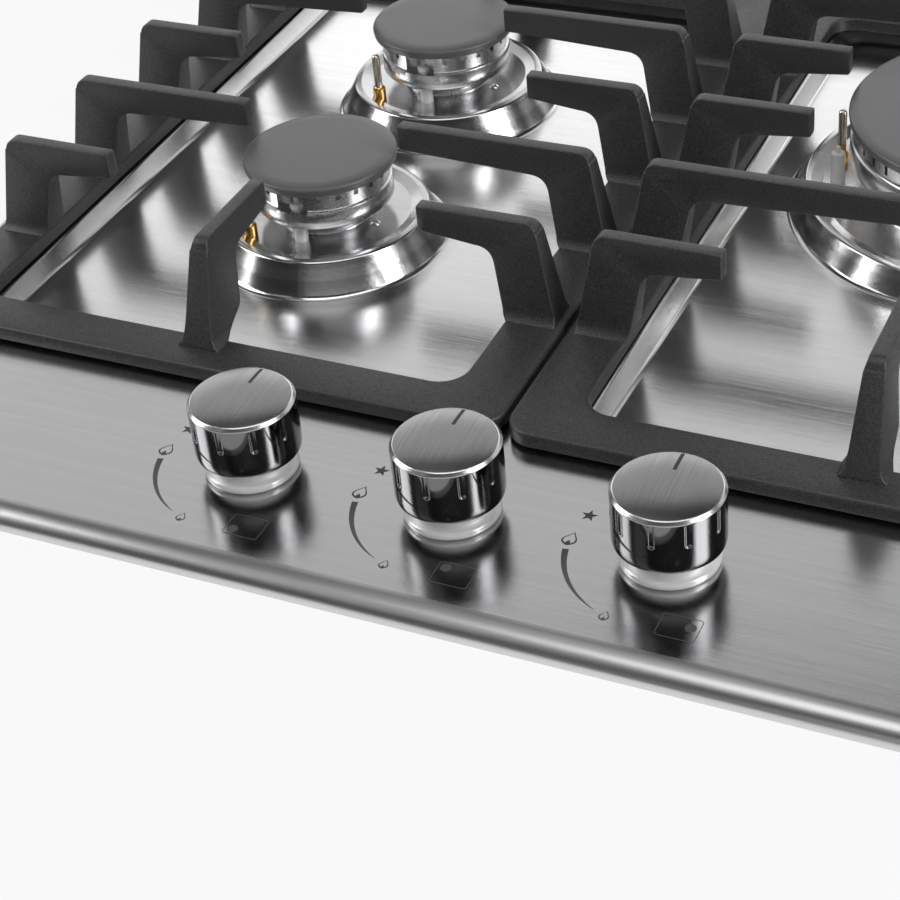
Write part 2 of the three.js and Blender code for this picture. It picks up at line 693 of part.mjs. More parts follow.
function sparkElectrode(burner) {
  const [x, y] = electrodePlace(burner);
  const low = dish(burner.size) - electrode.below;
  const high = top + electrode.top;
  return turned([
    [0, low],
    [electrode.radius, low],
    [electrode.radius, high - electrode.edge],
    [electrode.radius - electrode.edge, high],
    [electrode.tip, high],
    [electrode.tip, high + electrode.tipLength],
    [0, high + electrode.tipLength],
  ], electrode.steps, x, y);
}

function flameSensor(burner) {
  const [x, y] = sensorPlace(burner);
  const low = dish(burner.size) - sensor.below;
  const collar = dish(burner.size) + sensor.ferruleHeight;
  const high = top + sensor.top;
  return turned([
    [0, low],
    [sensor.ferrule, low],
    [sensor.ferrule, collar],
    [sensor.rod, collar + sensor.shoulder],
    [sensor.rod, high - sensor.point],
    [sensor.rod - sensor.point, high],
    [0, high],
  ], sensor.steps, x, y);
}

// ---------------------------------------------------------------- knobs and taps
function knobBody(i) {
  const x = knobX(i);
  const low = top + knob.bottom;
  const high = top + knob.top;
  const inside = knob.radius - knob.wall;
  const ceiling = high - knob.crown;
  const shell = turned([
    [0, ceiling],
    [inside, ceiling],
    [inside, low],
    [knob.footRadius, low],
    [knob.radius, low + knob.footTaper],
    [knob.radius, high - knob.chamfer],
    [knob.radius - knob.chamfer, high],
    [0, high + knob.domeRise],
  ], knob.steps, x, knobY);
  const hub = cylinder(knob.hubRadius, top + knob.hubBottom, ceiling + past, knob.hubSteps, x, knobY);
  const grooves = [];
  const grooveTop = high - knob.grooveFrom;
  const grooveEnd = high - knob.grooveTo;
  for (let g = 0; g < knob.grooves; g += 1) {
    const out = knob.radius + knob.grooveWidth / 2 - knob.grooveDepth;
    const [gx, gy] = around({ x, y: knobY }, out, 90 + g * 360 / knob.grooves);
    grooves.push(turned([
      [0, grooveEnd],
      [knob.grooveWidth / 3, grooveEnd + knob.grooveWidth / 6],
      [knob.grooveWidth / 2, grooveEnd + knob.grooveWidth / 2],
      [knob.grooveWidth / 2, grooveTop],
      [0, grooveTop],
    ], knob.grooveSteps, gx, gy));
  }
  const mark = radialBlock(knob.radius * knob.markFrom, knob.radius * knob.markTo, knob.markWidth,
    high - knob.markDepth, high + knob.domeRise + past, 90, x, knobY);
  const bore = dShaft(i, top + knob.hubBottom - past, top + knob.hubBottom + spindle.reachKnob + gap, gap);
  return cut(join(shell, hub), mark, bore, ...grooves);
}

// Round shaft with one flat, grown by the clearance when it is used as a bore.
function dShaft(i, low, high, clearance) {
  const x = knobX(i);
  const round = cylinder(spindle.radius + clearance, low, high, spindle.steps, x, knobY);
  const flatY = knobY - spindle.flat - clearance;
  const wide = 2 * spindle.radius;
  return cut(round, box(x - wide, flatY - wide, low - past, x + wide, flatY, high + past));
}

function bezelRing(i) {
  return turned([
    [bezel.bore, tap.top],
    [bezel.neckRadius, tap.top],
    [bezel.neckRadius, top],
    [bezel.radius, top],
    [bezel.radius, top + bezel.skirtHeight],
    [bezel.shoulder, top + bezel.shoulderHeight],
    [bezel.coneRadius, top + bezel.coneHeight],
    [bezel.collarRadius, top + bezel.collarHeight],
    [bezel.bore, top + bezel.collarHeight],
  ], bezel.steps, knobX(i), knobY);
}

function tapBody(i) {
  const x = knobX(i);
  const barrel = turned([
    [0, tap.bottom],
    [tap.radius, tap.bottom],
    [tap.radius, tap.top],
    [spindle.coverHole, tap.top],
    [spindle.coverHole, tap.top - tap.wall],
    [tap.bore, tap.top - tap.wall],
    [tap.bore, tap.bottom + tap.wall],
    [0, tap.bottom + tap.wall],
  ], tap.steps, x, knobY);
  const saddleEnd = railY - rail.radius;
  const saddle = box(x - tap.saddleWidth / 2, knobY + tap.radius - tap.wall, rail.z - rail.radius,
    x + tap.saddleWidth / 2, saddleEnd, rail.z + rail.radius);
  const outletStart = knobY + tap.bore + past;
  const outletEnd = knobY + tap.radius + tap.outletReach;
  const outlet = crossCylinder(tap.outletRadius, outletStart, outletEnd, tap.steps, x, tap.outletZ);
  return join(barrel, saddle, outlet);
}

function tapRotor(i) {
  const low = tap.bottom + tap.wall + gap;
  const high = tap.top - tap.wall - gap;
  const body = cylinder(tap.rotorRadius, low, high, tap.steps, knobX(i), knobY);
  const socket = dShaft(i, high - spindle.reachRotor - pushTravel - past, high + past, gap);
  return cut(body, socket);
}

function tapSpindle(i) {
  const low = tap.top - tap.wall - gap - spindle.reachRotor;
  return dShaft(i, low, top + knob.hubBottom + spindle.reachKnob, 0);
}

// ---------------------------------------------------------------- gas side
// Round pipe through the given points, bent at each inner point.
function pipe(points, radius, bend, sides, steps) {
  const corners = points.map((point) => new THREE.Vector3(...point));
  const path = new THREE.CurvePath();
  let from = corners[0];
  for (let i = 1; i < corners.length - 1; i += 1) {
    const before = corners[i].clone().lerp(corners[i - 1], bend / corners[i].distanceTo(corners[i - 1]));
    const after = corners[i].clone().lerp(corners[i + 1], bend / corners[i].distanceTo(corners[i + 1]));
    path.add(new THREE.LineCurve3(from, before));
    path.add(new THREE.QuadraticBezierCurve3(before, corners[i], after));
    from = after;
  }
  path.add(new THREE.LineCurve3(from, corners[corners.length - 1]));
  return tube(path, radius, sides, steps);
}

function gasRail() {
  return pipe([
    [knobX(0) - rail.pastTap, railY, rail.z],
    [railRight, railY, rail.z],
    [railRight, inletStart() - gap, rail.z],
  ], rail.radius, rail.bend, rail.sides, rail.steps);
}

function inletStart() {
  return housingLength / 2 - housing.sheet - inlet.fromWall - inlet.hexLength;
}

function gasInlet() {
  const start = inletStart();
  const hexEnd = start + inlet.hexLength;
  const end = housingLength / 2 + inlet.outside;
  const hex = crossCylinder(inlet.hexRadius, start, hexEnd, inlet.hexSteps, railRight, rail.z);
  const stub = crossCylinder(inlet.radius, hexEnd - past, end, inlet.steps, railRight, rail.z);
  const boreStart = start + inlet.hexLength / 2;
  const bore = crossCylinder(inlet.bore, boreStart, end + past, inlet.steps, railRight, rail.z);
  return cut(join(hex, stub), bore);
}

function feedTube(i) {
  const burner = burners[i];
  const start = [knobX(i), knobY + tap.radius + tap.outletReach + gap, tap.outletZ];
  const over = [knobX(i), railY + feed.pastRail, tap.outletZ];
  const reachIn = burner.size.injectorRadius + gap;
  const route = feed.sideways[i] === 0
    ? [[burner.x, burner.y - feed.straight, feed.low], [burner.x, burner.y - reachIn, feed.low]]
    : [
      [burner.x + feed.sideways[i], railY + feed.pastRail + feed.straight, feed.low],
      [burner.x + feed.sideways[i], burner.y, feed.low],
      [burner.x + reachIn, burner.y, feed.low],
    ];
  return pipe([start, over, ...route], feed.radius, feed.bend, feed.sides, feed.steps);
}

function railBracket(x) {
  const cradle = rail.z - rail.radius - gap;
  const front = railY - bracket.sheet / 2;
  const bent = (y0, z0, y1, z1) => box(x - bracket.width / 2, y0, z0, x + bracket.width / 2, y1, z1);
  return join(
    bent(front, trayFloor, front + bracket.sheet, cradle),
    bent(front, trayFloor, railY + bracket.foot, trayFloor + bracket.sheet),
    bent(railY - rail.radius, cradle - bracket.sheet, railY + rail.radius, cradle),
  );
}

// ---------------------------------------------------------------- electrical side
function sparkModule() {
  const { width, depth, height, x } = sparkBox;
  const y = housingLength / 2 - sparkBox.fromRear - depth / 2;
  const high = trayFloor + height;
  const body = box(x - width / 2, y - depth / 2, trayFloor, x + width / 2, y + depth / 2, high);
  const towers = [];
  const towerTop = high + sparkBox.towerHeight;
  for (let i = 0; i < sparkBox.towers; i += 1) {
    const towerX = x + (i - (sparkBox.towers - 1) / 2) * sparkBox.pitch;
    towers.push(cylinder(sparkBox.tower, high - past, towerTop, sparkBox.steps, towerX, y));
  }
  return join(body, ...towers);
}

function terminalMiddle() {
  return trayFloor + terminal.height / 2;
}

function terminalBox() {
  const back = housingLength / 2 - housing.sheet - terminal.fromWall;
  const { width, depth, height, x } = terminal;
  const body = box(x - width / 2, back - depth, trayFloor, x + width / 2, back, trayFloor + height);
  const middle = terminalMiddle();
  const bore = crossCylinder(terminal.bore, back - depth / 2, back + past, terminal.steps, x, middle);
  return cut(body, bore);
}

// ---------------------------------------------------------------- assembly
const hob = new THREE.Group();
hob.name = 'gas_cooktop';
const put = (name, body, material) => hob.add(piece(name, body, material));

put('top_plate', topPlate(), brushedSteel());
put('bottom_tray', bottomTray(), galvanised());
put('worktop_seal', worktopSeal(), rubber());
for (const [side, sign] of [['left', -1], ['right', 1]]) {
  put(`clamp_${side}_front`, worktopClamp(sign, clamp.fromEnd - housingLength / 2), galvanised());
  put(`clamp_${side}_rear`, worktopClamp(sign, housingLength / 2 - clamp.fromEnd), galvanised());
  put(`pan_support_${side}`, panSupport(sign * grateX, sideTips[side]), castIron());
  hob.add(...grateFeet(side, sign * grateX));
}
for (const burner of burners) {
  const { name, size } = burner;
  const wok = size === wokBurner;
  put(`burner_cup_${name}`, burnerCup(burner), aluminium());
  put(`burner_ring_${name}`, wok ? wokSpreader(burner) : smallSpreader(burner), aluminium());
  if (wok) {
    put(`burner_cap_${name}_ring`, ringCap(burner), enamel());
    put(`burner_cap_${name}_centre`, roundCap(burner, {
      radius: size.centreCap, inside: size.hub - size.hubWall, seatZ: top + size.hubTop,
      height: size.centreCapHeight, steps: size.hubSteps,
    }), enamel());
  } else {
    put(`burner_cap_${name}`, roundCap(burner, {
      radius: size.cap, inside: size.ring - size.ringWall, seatZ: top + size.ringTop,
      height: size.capHeight, steps: size.steps,
    }), enamel());
  }
  put(`spark_electrode_${name}`, sparkElectrode(burner), ceramic());
  put(`flame_sensor_${name}`, flameSensor(burner), brass());
}
['left', 'middle', 'right'].forEach((place, i) => {
  put(`knob_${place}`, knobBody(i), chrome());
  put(`knob_ring_${place}`, bezelRing(i), chrome());
  put(`tap_body_${place}`, tapBody(i), brass());
  put(`tap_rotor_${place}`, tapRotor(i), brass());
  put(`tap_spindle_${place}`, tapSpindle(i), galvanised());
  put(`feed_tube_${burners[i].name}`, feedTube(i), aluminium());
});
put('gas_rail', gasRail(), aluminium());
put('gas_inlet', gasInlet(), brass());
bracket.places.forEach((x, i) => put(`rail_bracket_${i + 1}`, railBracket(x), galvanised()));
put('spark_module', sparkModule(), blackPlastic());
put('terminal_box', terminalBox(), blackPlastic());

export default hob;
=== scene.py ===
# %% [markdown]
# # A three-burner gas cooktop, dressed for its portrait
# The packed CAD model is the frame: it says where every part is and how it moves. This script hides
# the faceted parts that show, puts smooth surfaces worked out with numpy in their place, and gives
# every part a procedural finish. Lengths are metres, or millimetres where a comment says so.

import math

import bmesh
import bpy
import numpy as np
from mathutils import Matrix, Vector
from mathutils.geometry import tessellate_polygon


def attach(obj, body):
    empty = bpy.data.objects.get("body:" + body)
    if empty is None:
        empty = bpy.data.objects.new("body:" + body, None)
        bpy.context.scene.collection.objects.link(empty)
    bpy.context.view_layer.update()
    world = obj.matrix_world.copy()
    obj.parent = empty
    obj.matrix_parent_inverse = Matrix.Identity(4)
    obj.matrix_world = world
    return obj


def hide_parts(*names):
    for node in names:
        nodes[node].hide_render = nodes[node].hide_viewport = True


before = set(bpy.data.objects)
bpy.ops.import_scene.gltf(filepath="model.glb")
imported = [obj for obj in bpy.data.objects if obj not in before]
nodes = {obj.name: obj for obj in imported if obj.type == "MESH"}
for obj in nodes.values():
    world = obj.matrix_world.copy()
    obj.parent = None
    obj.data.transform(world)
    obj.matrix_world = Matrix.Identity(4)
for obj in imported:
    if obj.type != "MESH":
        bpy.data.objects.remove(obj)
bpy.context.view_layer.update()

# %% [markdown]
# The photograph was taken from the front right, 37 degrees above the worktop, with the camera rolled
# by 6 degrees. The place and the lens were solved from the round knobs and the straight bars.

# %% Camera
MM = 0.001
TOP = 0.054  # upper face of the steel plate
LOOK_AZIMUTH, LOOK_DOWN, LOOK_ROLL = (math.radians(a) for a in (28.11, 37.13, 6.06))
EYE = Vector((0.2969, -0.7491, 0.5035 + TOP))

forward = Vector((-math.sin(LOOK_AZIMUTH) * math.cos(LOOK_DOWN),
                  math.cos(LOOK_AZIMUTH) * math.cos(LOOK_DOWN), -math.sin(LOOK_DOWN)))
level = forward.cross(Vector((0, 0, 1))).normalized()
lower = forward.cross(level)
right = math.cos(LOOK_ROLL) * level + math.sin(LOOK_ROLL) * lower
down = -math.sin(LOOK_ROLL) * level + math.cos(LOOK_ROLL) * lower
lens = bpy.data.cameras.new("portrait")
lens.lens, lens.sensor_width, lens.clip_end = 85.87, 36, 20
camera = bpy.data.objects.new("portrait", lens)
camera.matrix_world = Matrix((
    (right.x, -down.x, -forward.x, EYE.x),
    (right.y, -down.y, -forward.y, EYE.y),
    (right.z, -down.z, -forward.z, EYE.z),
    (0, 0, 0, 1)))
bpy.context.scene.collection.objects.link(camera)
bpy.context.scene.camera = camera
print("camera height above the plate:", round(EYE.z - TOP, 3))

# %% [markdown]
# Shader maths reads best as plain formulas. `Value` wraps one output of a node, and the usual signs
# add Math nodes. `Finish` holds one material and makes any other node in one call.

# %% Shader helper
class Value:
    """One socket of a node tree that can be added, multiplied and compared."""

    def __init__(self, tree, socket):
        self.tree, self.socket = tree, socket

    def math(self, operation, *others):
        node = self.tree.nodes.new("ShaderNodeMath")
        node.operation = operation
        for slot, value in zip(node.inputs, (self, *others)):
            if isinstance(value, Value):
                self.tree.links.new(value.socket, slot)
            else:
                slot.default_value = value
        return Value(self.tree, node.outputs[0])

    def __add__(self, other): return self.math("ADD", other)
    def __radd__(self, other): return self.math("ADD", other)
    def __sub__(self, other): return self.math("SUBTRACT", other)
    def __rsub__(self, other): return self.math("MULTIPLY", -1.0).math("ADD", other)
    def __mul__(self, other): return self.math("MULTIPLY", other)
    def __rmul__(self, other): return self.math("MULTIPLY", other)
    def __truediv__(self, other): return self.math("DIVIDE", other)
    def __rtruediv__(self, other): return self.math("POWER", -1.0).math("MULTIPLY", other)
    def __pow__(self, other): return self.math("POWER", other)
    def __lt__(self, other): return self.math("LESS_THAN", other)
    def __gt__(self, other): return self.math("GREATER_THAN", other)
    def __abs__(self): return self.math("ABSOLUTE")
    def clamp(self): return self.math("MAXIMUM", 0.0).math("MINIMUM", 1.0)
    def fade(self, low, high):
        """0 below low, 1 above high, straight between; low may be the larger."""
        return ((self - low) / (high - low)).clamp()


class Finish:
    """A material with one Principled shader, whose fixed values sit on its own sockets."""

    def __init__(self, name, **fixed):
        self.material = bpy.data.materials.new(name)
        self.material.use_nodes = True
        self.tree = self.material.node_tree
        self.shader = self.tree.nodes["Principled BSDF"]
        for key, value in fixed.items():
            self.shader.inputs[key.replace("_", " ")].default_value = value

    def node(self, kind, settings=None, **values):
        """A node of this type: its settings first, then the values or links of its sockets."""
        made = self.tree.nodes.new("ShaderNode" + kind)
        for key, value in (settings or {}).items():
            setattr(made, key, value)
        for key, value in values.items():
            slot = made.inputs[int(key[1:])] if key[0] == "_" else made.inputs[key.replace("_", " ")]
            if isinstance(value, Value):
                self.tree.links.new(value.socket, slot)
            else:
                slot.default_value = value
        return made

    def out(self, made, name=0):
        return Value(self.tree, made.outputs[name])

    def place(self, scale=(1, 1, 1)):
        """Object coordinates, stretched."""
        where = self.out(self.node("TexCoord"), "Object")
        return self.out(self.node("Mapping", Vector=where, Scale=scale))

    def xyz(self):
        split = self.node("SeparateXYZ", Vector=self.out(self.node("TexCoord"), "Object"))
        return [self.out(split, i) for i in range(3)]

    def noise(self, scale, stretch=(1, 1, 1), detail=2.0, roughness=0.5, where=None):
        sockets = {"Vector": where or self.place(stretch), "Scale": scale, "Detail": detail}
        return self.out(self.node("TexNoise", Roughness=roughness, **sockets))

    def tint(self, mask, dark, light):
        """A colour between two others: the first where the mask is 0, the second where it is 1."""
        made = self.node("Mix", {"data_type": "RGBA"}, _0=mask)
        made.inputs[6].default_value, made.inputs[7].default_value = (*dark, 1), (*light, 1)
        return self.out(made, 2)

    def feed(self, **links):
        for key, value in links.items():
            self.tree.links.new(value.socket, self.shader.inputs[key.replace("_", " ")])
        return self

    def relief(self, height, distance, strength):
        """Small relief through a Bump node: a mask times the distance in metres."""
        made = self.node("Bump", Strength=strength, Distance=distance, Height=height)
        return self.feed(Normal=self.out(made)).material

    def coat(self, mask, dark, light, height, distance, strength):
        """The colour and the relief, which every finish ends with."""
        self.feed(Base_Color=self.tint(mask, dark, light))
        return self.relief(height, distance, strength)


print("methods of Finish:", [name for name in vars(Finish) if name[0] != "_"])

# %% [markdown]
# Brushed stainless steel has fine scratches along the width of the plate. They blur a reflection
# across the scratches and hardly along them, so a leg standing on the plate mirrors as a soft upright
# streak. Noise that is stretched along X gives that in the relief, the roughness and the colour. The
# pressed edge comes out of the tool duller. The basins and the feet of the cones are painted paler,
# a painted highlight that stands in for the light they reflect.

# %% Metals
ROLL_FROM = {"x": 0.2847, "y": 0.2447}  # just before the edge rolls over, from the middle


def brushed_steel():
    finish = Finish("brushed_steel", Metallic=1.0)
    fine = finish.noise(1.0, (14, 5200, 300), 2.0, 0.6)
    broad = finish.noise(1.0, (3, 420, 100), 2.0, 0.5)
    cloud = finish.noise(9.0)
    x, y, z = finish.xyz()
    roll = ((abs(y) > ROLL_FROM["y"]) + (abs(x) > ROLL_FROM["x"])).clamp()
    finish.feed(Roughness=0.12 + fine * 0.07 + cloud * 0.02 + roll * 0.15)
    # painted highlight: the basins and the lower cone slopes get a paler colour for the light they reflect;
    # the fine and broad noise is the brushing's own tone
    basin = 1 - z.fade(TOP - 5.5 * MM, TOP - 1.5 * MM)
    cone = z.fade(TOP + 0.3 * MM, TOP + 1.2 * MM) * (1 - z.fade(TOP + 4.5 * MM, TOP + 6.0 * MM))
    pale = (fine + broad) * 0.22 + (basin + cone) * 0.56
    scratches = fine * 0.95 + broad * 0.05
    return finish.coat(pale, (0.53, 0.53, 0.535), (0.84, 0.84, 0.845), scratches, 0.000023, 0.8)


def satin_silver():
    """Pale plated ring under each knob: a glossy shoulder below, a duller grained neck above."""
    finish = Finish("satin_silver")
    x, y, z = finish.xyz()
    neck = z.fade(TOP + 2.6 * MM, TOP + 3.6 * MM)
    grain = finish.noise(1400.0, roughness=0.6)
    finish.feed(Roughness=0.14 + neck * (0.14 + grain * 0.06), Metallic=0.22 - neck * 0.17)
    return finish.coat(neck, (0.94, 0.94, 0.95), (0.95, 0.95, 0.95), grain * neck, 0.00001, 0.4)


def polished(name, colour, roughness, streak=0.03):
    finish = Finish(name, Metallic=1.0)
    smear = finish.noise(60.0, detail=3.0, roughness=0.55)
    grain = finish.noise(900.0, (1, 1, 6), 1.0, 0.5)
    finish.feed(Roughness=roughness + smear * streak + grain * streak)
    return finish.coat(smear, [0.96 * c for c in colour], colour, grain, 0.000004, 0.3)


def galvanised():
    finish = Finish("galvanised_steel", Metallic=1.0)
    cells = finish.node("TexVoronoi", {"feature": "F1"}, Vector=finish.place(), Scale=130.0)
    split = finish.node("SeparateColor", Color=finish.out(cells, "Color"))
    spangle = finish.out(split, 0)
    finish.feed(Roughness=0.42 + spangle * 0.16)
    return finish.coat(spangle, (0.42, 0.43, 0.44), (0.56, 0.57, 0.58), spangle, 0.00003, 0.4)


def brass_and_rod():
    """Brass ferrule below, pale steel rod above it."""
    finish = Finish("brass_ferrule_steel_rod", Metallic=1.0)
    x, y, z = finish.xyz()
    grain = finish.noise(900.0, (1, 1, 0.2), 2.0, 0.5)
    finish.feed(Roughness=0.16 + grain * 0.08)
    rod = z.fade(TOP + 12.0 * MM, TOP + 13.0 * MM)
    return finish.coat(rod, (0.86, 0.50, 0.15), (0.88, 0.80, 0.66), grain, 0.000004, 0.3)


STEEL, SATIN, BRASS_ROD, ZINC = brushed_steel(), satin_silver(), brass_and_rod(), galvanised()
CHROME = polished("chrome", (0.80, 0.80, 0.81), 0.05)
ALUMINIUM = polished("turned_aluminium", (0.74, 0.74, 0.75), 0.2, 0.06)
BRASS = polished("brass", (0.83, 0.55, 0.20), 0.18, 0.06)
print("metals made:", ", ".join(m.name for m in (STEEL, SATIN, BRASS_ROD, ZINC, CHROME, ALUMINIUM, BRASS)))

# %% [markdown]
# The pan supports are cast and enamelled matt black: a fine grain breaks up every highlight. The
# burner caps have a smoother satin enamel. Rubber, plastic and glazed ceramic finish the small parts.

# %% Enamels and small materials
def cast_enamel():
    finish = Finish("matt_cast_enamel", Specular_IOR_Level=0.7)
    grain = finish.noise(1500.0, roughness=0.6)
    lumps = finish.noise(320.0, detail=3.0, roughness=0.6)
    glint = grain.fade(0.60, 0.72)
    finish.feed(Roughness=0.40 + lumps * 0.1 - glint * 0.2)
    rough = grain * 0.6 + lumps * 0.4
    return finish.coat(grain.fade(0.35, 0.75), (0.014, 0.014, 0.0145), (0.070, 0.0705, 0.072),
                       rough, 0.00030, 0.7)


def cap_enamel():
    finish = Finish("satin_cap_enamel", Specular_IOR_Level=0.75)
    grain = finish.noise(1100.0, roughness=0.6)
    cloud = finish.noise(45.0, detail=3.0, roughness=0.6)
    finish.feed(Roughness=0.33 + cloud * 0.1)
    mottle = grain * 0.4 + cloud * 0.6
    return finish.coat(mottle, (0.086, 0.087, 0.090), (0.130, 0.131, 0.135), grain, 0.00006, 0.35)


def plain(name, dark, light, roughness, scale, depth):
    finish = Finish(name)
    grain = finish.noise(scale, detail=3.0, roughness=0.6)
    finish.feed(Roughness=roughness + grain * 0.1)
    return finish.coat(grain, dark, light, grain, depth, 0.4)


CAST = cast_enamel()
ENAMEL = cap_enamel()
RUBBER = plain("black_rubber", (0.008, 0.008, 0.008), (0.02, 0.02, 0.02), 0.6, 700.0, 0.00008)
PLASTIC = plain("black_plastic", (0.012, 0.012, 0.013), (0.024, 0.024, 0.026), 0.42, 1200.0, 0.00005)
CERAMIC = plain("glazed_ceramic", (0.80, 0.79, 0.76), (0.90, 0.89, 0.87), 0.16, 300.0, 0.00002)
INK = plain("grey_print", (0.075, 0.075, 0.077), (0.10, 0.10, 0.102), 0.45, 1500.0, 0.00001)
print("finishes made:", ", ".join(m.name for m in (CAST, ENAMEL, RUBBER, PLASTIC, CERAMIC, INK)))

# %% [markdown]
# The parts of the CAD model that still show keep their shape, and the start of each name says what the
# part is made of.

# %% Finishes of the CAD parts
MADE_OF = ((STEEL, "top_plate"), (ZINC, "bottom_tray clamp rail_bracket tap_spindle"),
           (RUBBER, "worktop_seal grate_foot"), (CAST, "pan_support"),
           (ALUMINIUM, "burner_cup burner_ring feed_tube gas_rail"), (ENAMEL, "burner_cap"),
           (CERAMIC, "spark_electrode"), (BRASS, "flame_sensor tap_ gas_inlet"), (CHROME, "knob"),
           (PLASTIC, "spark_module terminal_box"))
for name, node in nodes.items():
    finish = next(made_of for made_of, starts in MADE_OF if name.startswith(tuple(starts.split())))
    node.data.materials.clear()
    node.data.materials.append(finish)
print("finishes given to", len(nodes), "CAD nodes")

# %% [markdown]
# Every new piece is an array of points. `turn` spins a profile round an upright axis, `carry` lays a
# profile round a rounded rectangle, and `ring_faces` makes faces of any grid of rings. Profiles of
# turned parts are written in millimetres over the plate, and `over_plate` places them.

# %% Surfaces from arrays
LEAST_RADIUS = 0.0006  # corners never get sharper than this
QUADRANTS = ((1, 1), (-1, 1), (-1, -1), (1, -1))


def ring_faces(rows, columns):
    """Quads of a rows x columns grid of vertices, wrapping round the columns."""
    across = np.arange(columns)
    row = np.arange(rows - 1)[:, None] * columns
    a, b = row + across, row + (across + 1) % columns
    return np.stack([a, b, b + columns, a + columns], axis=-1).reshape(-1, 4).tolist()


def to_object(name, verts, faces, finish, crease=40.0, flip_to_volume=True):
    """A mesh object at the origin, smooth shaded, with edges sharper than the crease angle kept."""
    mesh = bpy.data.meshes.new(name)
    mesh.from_pydata(np.asarray(verts, float).tolist(), [], faces)
    work = bmesh.new()
    work.from_mesh(mesh)
    bmesh.ops.remove_doubles(work, verts=work.verts, dist=2e-6)
    bmesh.ops.dissolve_degenerate(work, dist=1e-7, edges=work.edges)
    if flip_to_volume and work.calc_volume(signed=True) < 0:
        bmesh.ops.reverse_faces(work, faces=work.faces)
    work.to_mesh(mesh)
    work.free()
    mesh.shade_smooth()
    mesh.set_sharp_from_angle(angle=math.radians(crease))
    mesh.materials.append(finish)
    piece = bpy.data.objects.new(name, mesh)
    bpy.context.scene.collection.objects.link(piece)
    return piece


def outward(mesh, open_sheet=False):
    """All faces turned outwards; an open sheet is turned so that its widest face looks up."""
    work = bmesh.new()
    work.from_mesh(mesh)
    bmesh.ops.recalc_face_normals(work, faces=work.faces)
    if open_sheet and max(work.faces, key=lambda face: face.calc_area()).normal.z < 0:
        bmesh.ops.reverse_faces(work, faces=work.faces)
    work.to_mesh(mesh)
    work.free()


def stands_for(piece, node, body="hob"):
    """A new piece that takes the place of one CAD part."""
    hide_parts(node)
    return settle(piece, body)


def settle(piece, body="hob"):
    """The body that a piece moves with."""
    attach(piece, body)
    return piece


def ray(angle):
    return np.column_stack([np.cos(angle), np.sin(angle)])


def over_plate(rows):
    """Rows (radius, height over the plate) from millimetres to metres."""
    return np.asarray(rows, float) * MM + (0, TOP)


def spun(r, z, angle, centre):
    """Points at x = cx + r cos t, y = cy + r sin t, with one row for each radius and height."""
    points = [centre[0] + r * np.cos(angle), centre[1] + r * np.sin(angle), z + 0 * angle]
    return np.stack(points, axis=-1).reshape(-1, 3)


def turn(profile, centre, steps=128):
    """Profile rows (radius, z) spun round the upright axis at centre."""
    profile = np.asarray(profile, float)
    angle = np.linspace(0, 2 * np.pi, steps, endpoint=False)
    return spun(profile[:, :1], profile[:, 1:], angle, centre), ring_faces(len(profile), steps)


def rounded(half_x, half_y, radius, centre=(0, 0), steps=10):
    """Rounded rectangle, anticlockwise: four quarter circles whose centres sit in from the corners."""
    quarter = np.linspace(0, np.pi / 2, steps + 1)
    inner_corner = np.array([half_x - radius, half_y - radius])
    points = [inner_corner * sign + radius * ray(quarter + k * np.pi / 2)
              for k, sign in enumerate(QUADRANTS)]
    return np.vstack(points) + centre


def at_level(outline, z):
    return np.column_stack([outline, np.full(len(outline), z)])


def carry(levels, half_x, half_y, radius, centre):
    """Profile rows (inset, z) laid round a rounded rectangle that shrinks by the inset."""
    rings = []
    for inset, z in levels:
        corner = max(radius - inset, LEAST_RADIUS)
        rings.append(at_level(rounded(half_x - inset, half_y - inset, corner, centre), z))
    return np.vstack(rings), ring_faces(len(levels), len(rings[0]))


def circle(centre, radius, steps):
    return centre + radius * ray(np.linspace(0, 2 * np.pi, steps, endpoint=False))


def flat_sheet(outer, holes, z):
    """A level face between an outline and its holes."""
    loops = [at_level(loop, z) for loop in [outer, *holes]]
    triangles = tessellate_polygon([[Vector(p) for p in loop] for loop in loops])
    verts = np.vstack(loops)
    faces = []
    for tri in triangles:
        a, b, c = verts[list(tri)]
        up = np.cross(b - a, c - a)[2]
        faces.append(tuple(tri) if up > 0 else tuple(reversed(tri)))
    return verts, faces


def together(*parts):
    """Several (verts, faces) pairs as one."""
    verts, faces, start = [], [], 0
    for points, polygons in parts:
        verts.append(points)
        faces.extend([tuple(i + start for i in face) for face in polygons])
        start += len(points)
    return np.vstack(verts), faces


print("a turned ring of 3 rows and 8 columns has", len(ring_faces(3, 8)), "faces")

# %% [markdown]
# The top is one pressed sheet: a rolled edge, two shallow basins and a raised cone round each burner.
# Its flat areas are level faces cut round the pressings, and each pressing is a profile carried round
# its outline, so the brushed reflections stay straight on the flats and bend only in the radii.

# %% Sizes of the sheet
HALF_X, HALF_Y, CORNER, SHEET = 0.295, 0.255, 0.009, 0.0012
UNDERSIDE, ROLL, ROLL_DROP = 0.046, 0.0098, 0.0074  # lower rim of the edge; how far it rolls in and down
BASIN_X, BASIN_Y, BASIN_HALF = 0.1405, 0.0425, (0.114, 0.1855)
BASIN_CORNER, BASIN_DEPTH, WALL_RUN = 0.016, 0.0065, 0.0065
FLOOR = TOP - BASIN_DEPTH
EASE, STRIP = 0.0048, 0.0006  # level ground round a basin wall, and its last strip, which stays flat
CONE_EASE, DISH_IN = 0.0072, 0.0121  # the same outside a cone's foot; from its crest in to the dish
KNOB_PITCH, KNOB_ROW, KNOB_HOLE, WIRE_HOLE = 0.086, -0.196, 0.0128, 0.0038
KNOB_PLACES = [(side * KNOB_PITCH, KNOB_ROW) for side in (-1, 0, 1)]
SMALL = {"foot": 0.0543, "rise": 0.0145, "run": 0.0085, "drop": 0.0016, "hole": 0.0186,
         "spark": (0.0254, -90), "sensor": (0.0372, -131)}
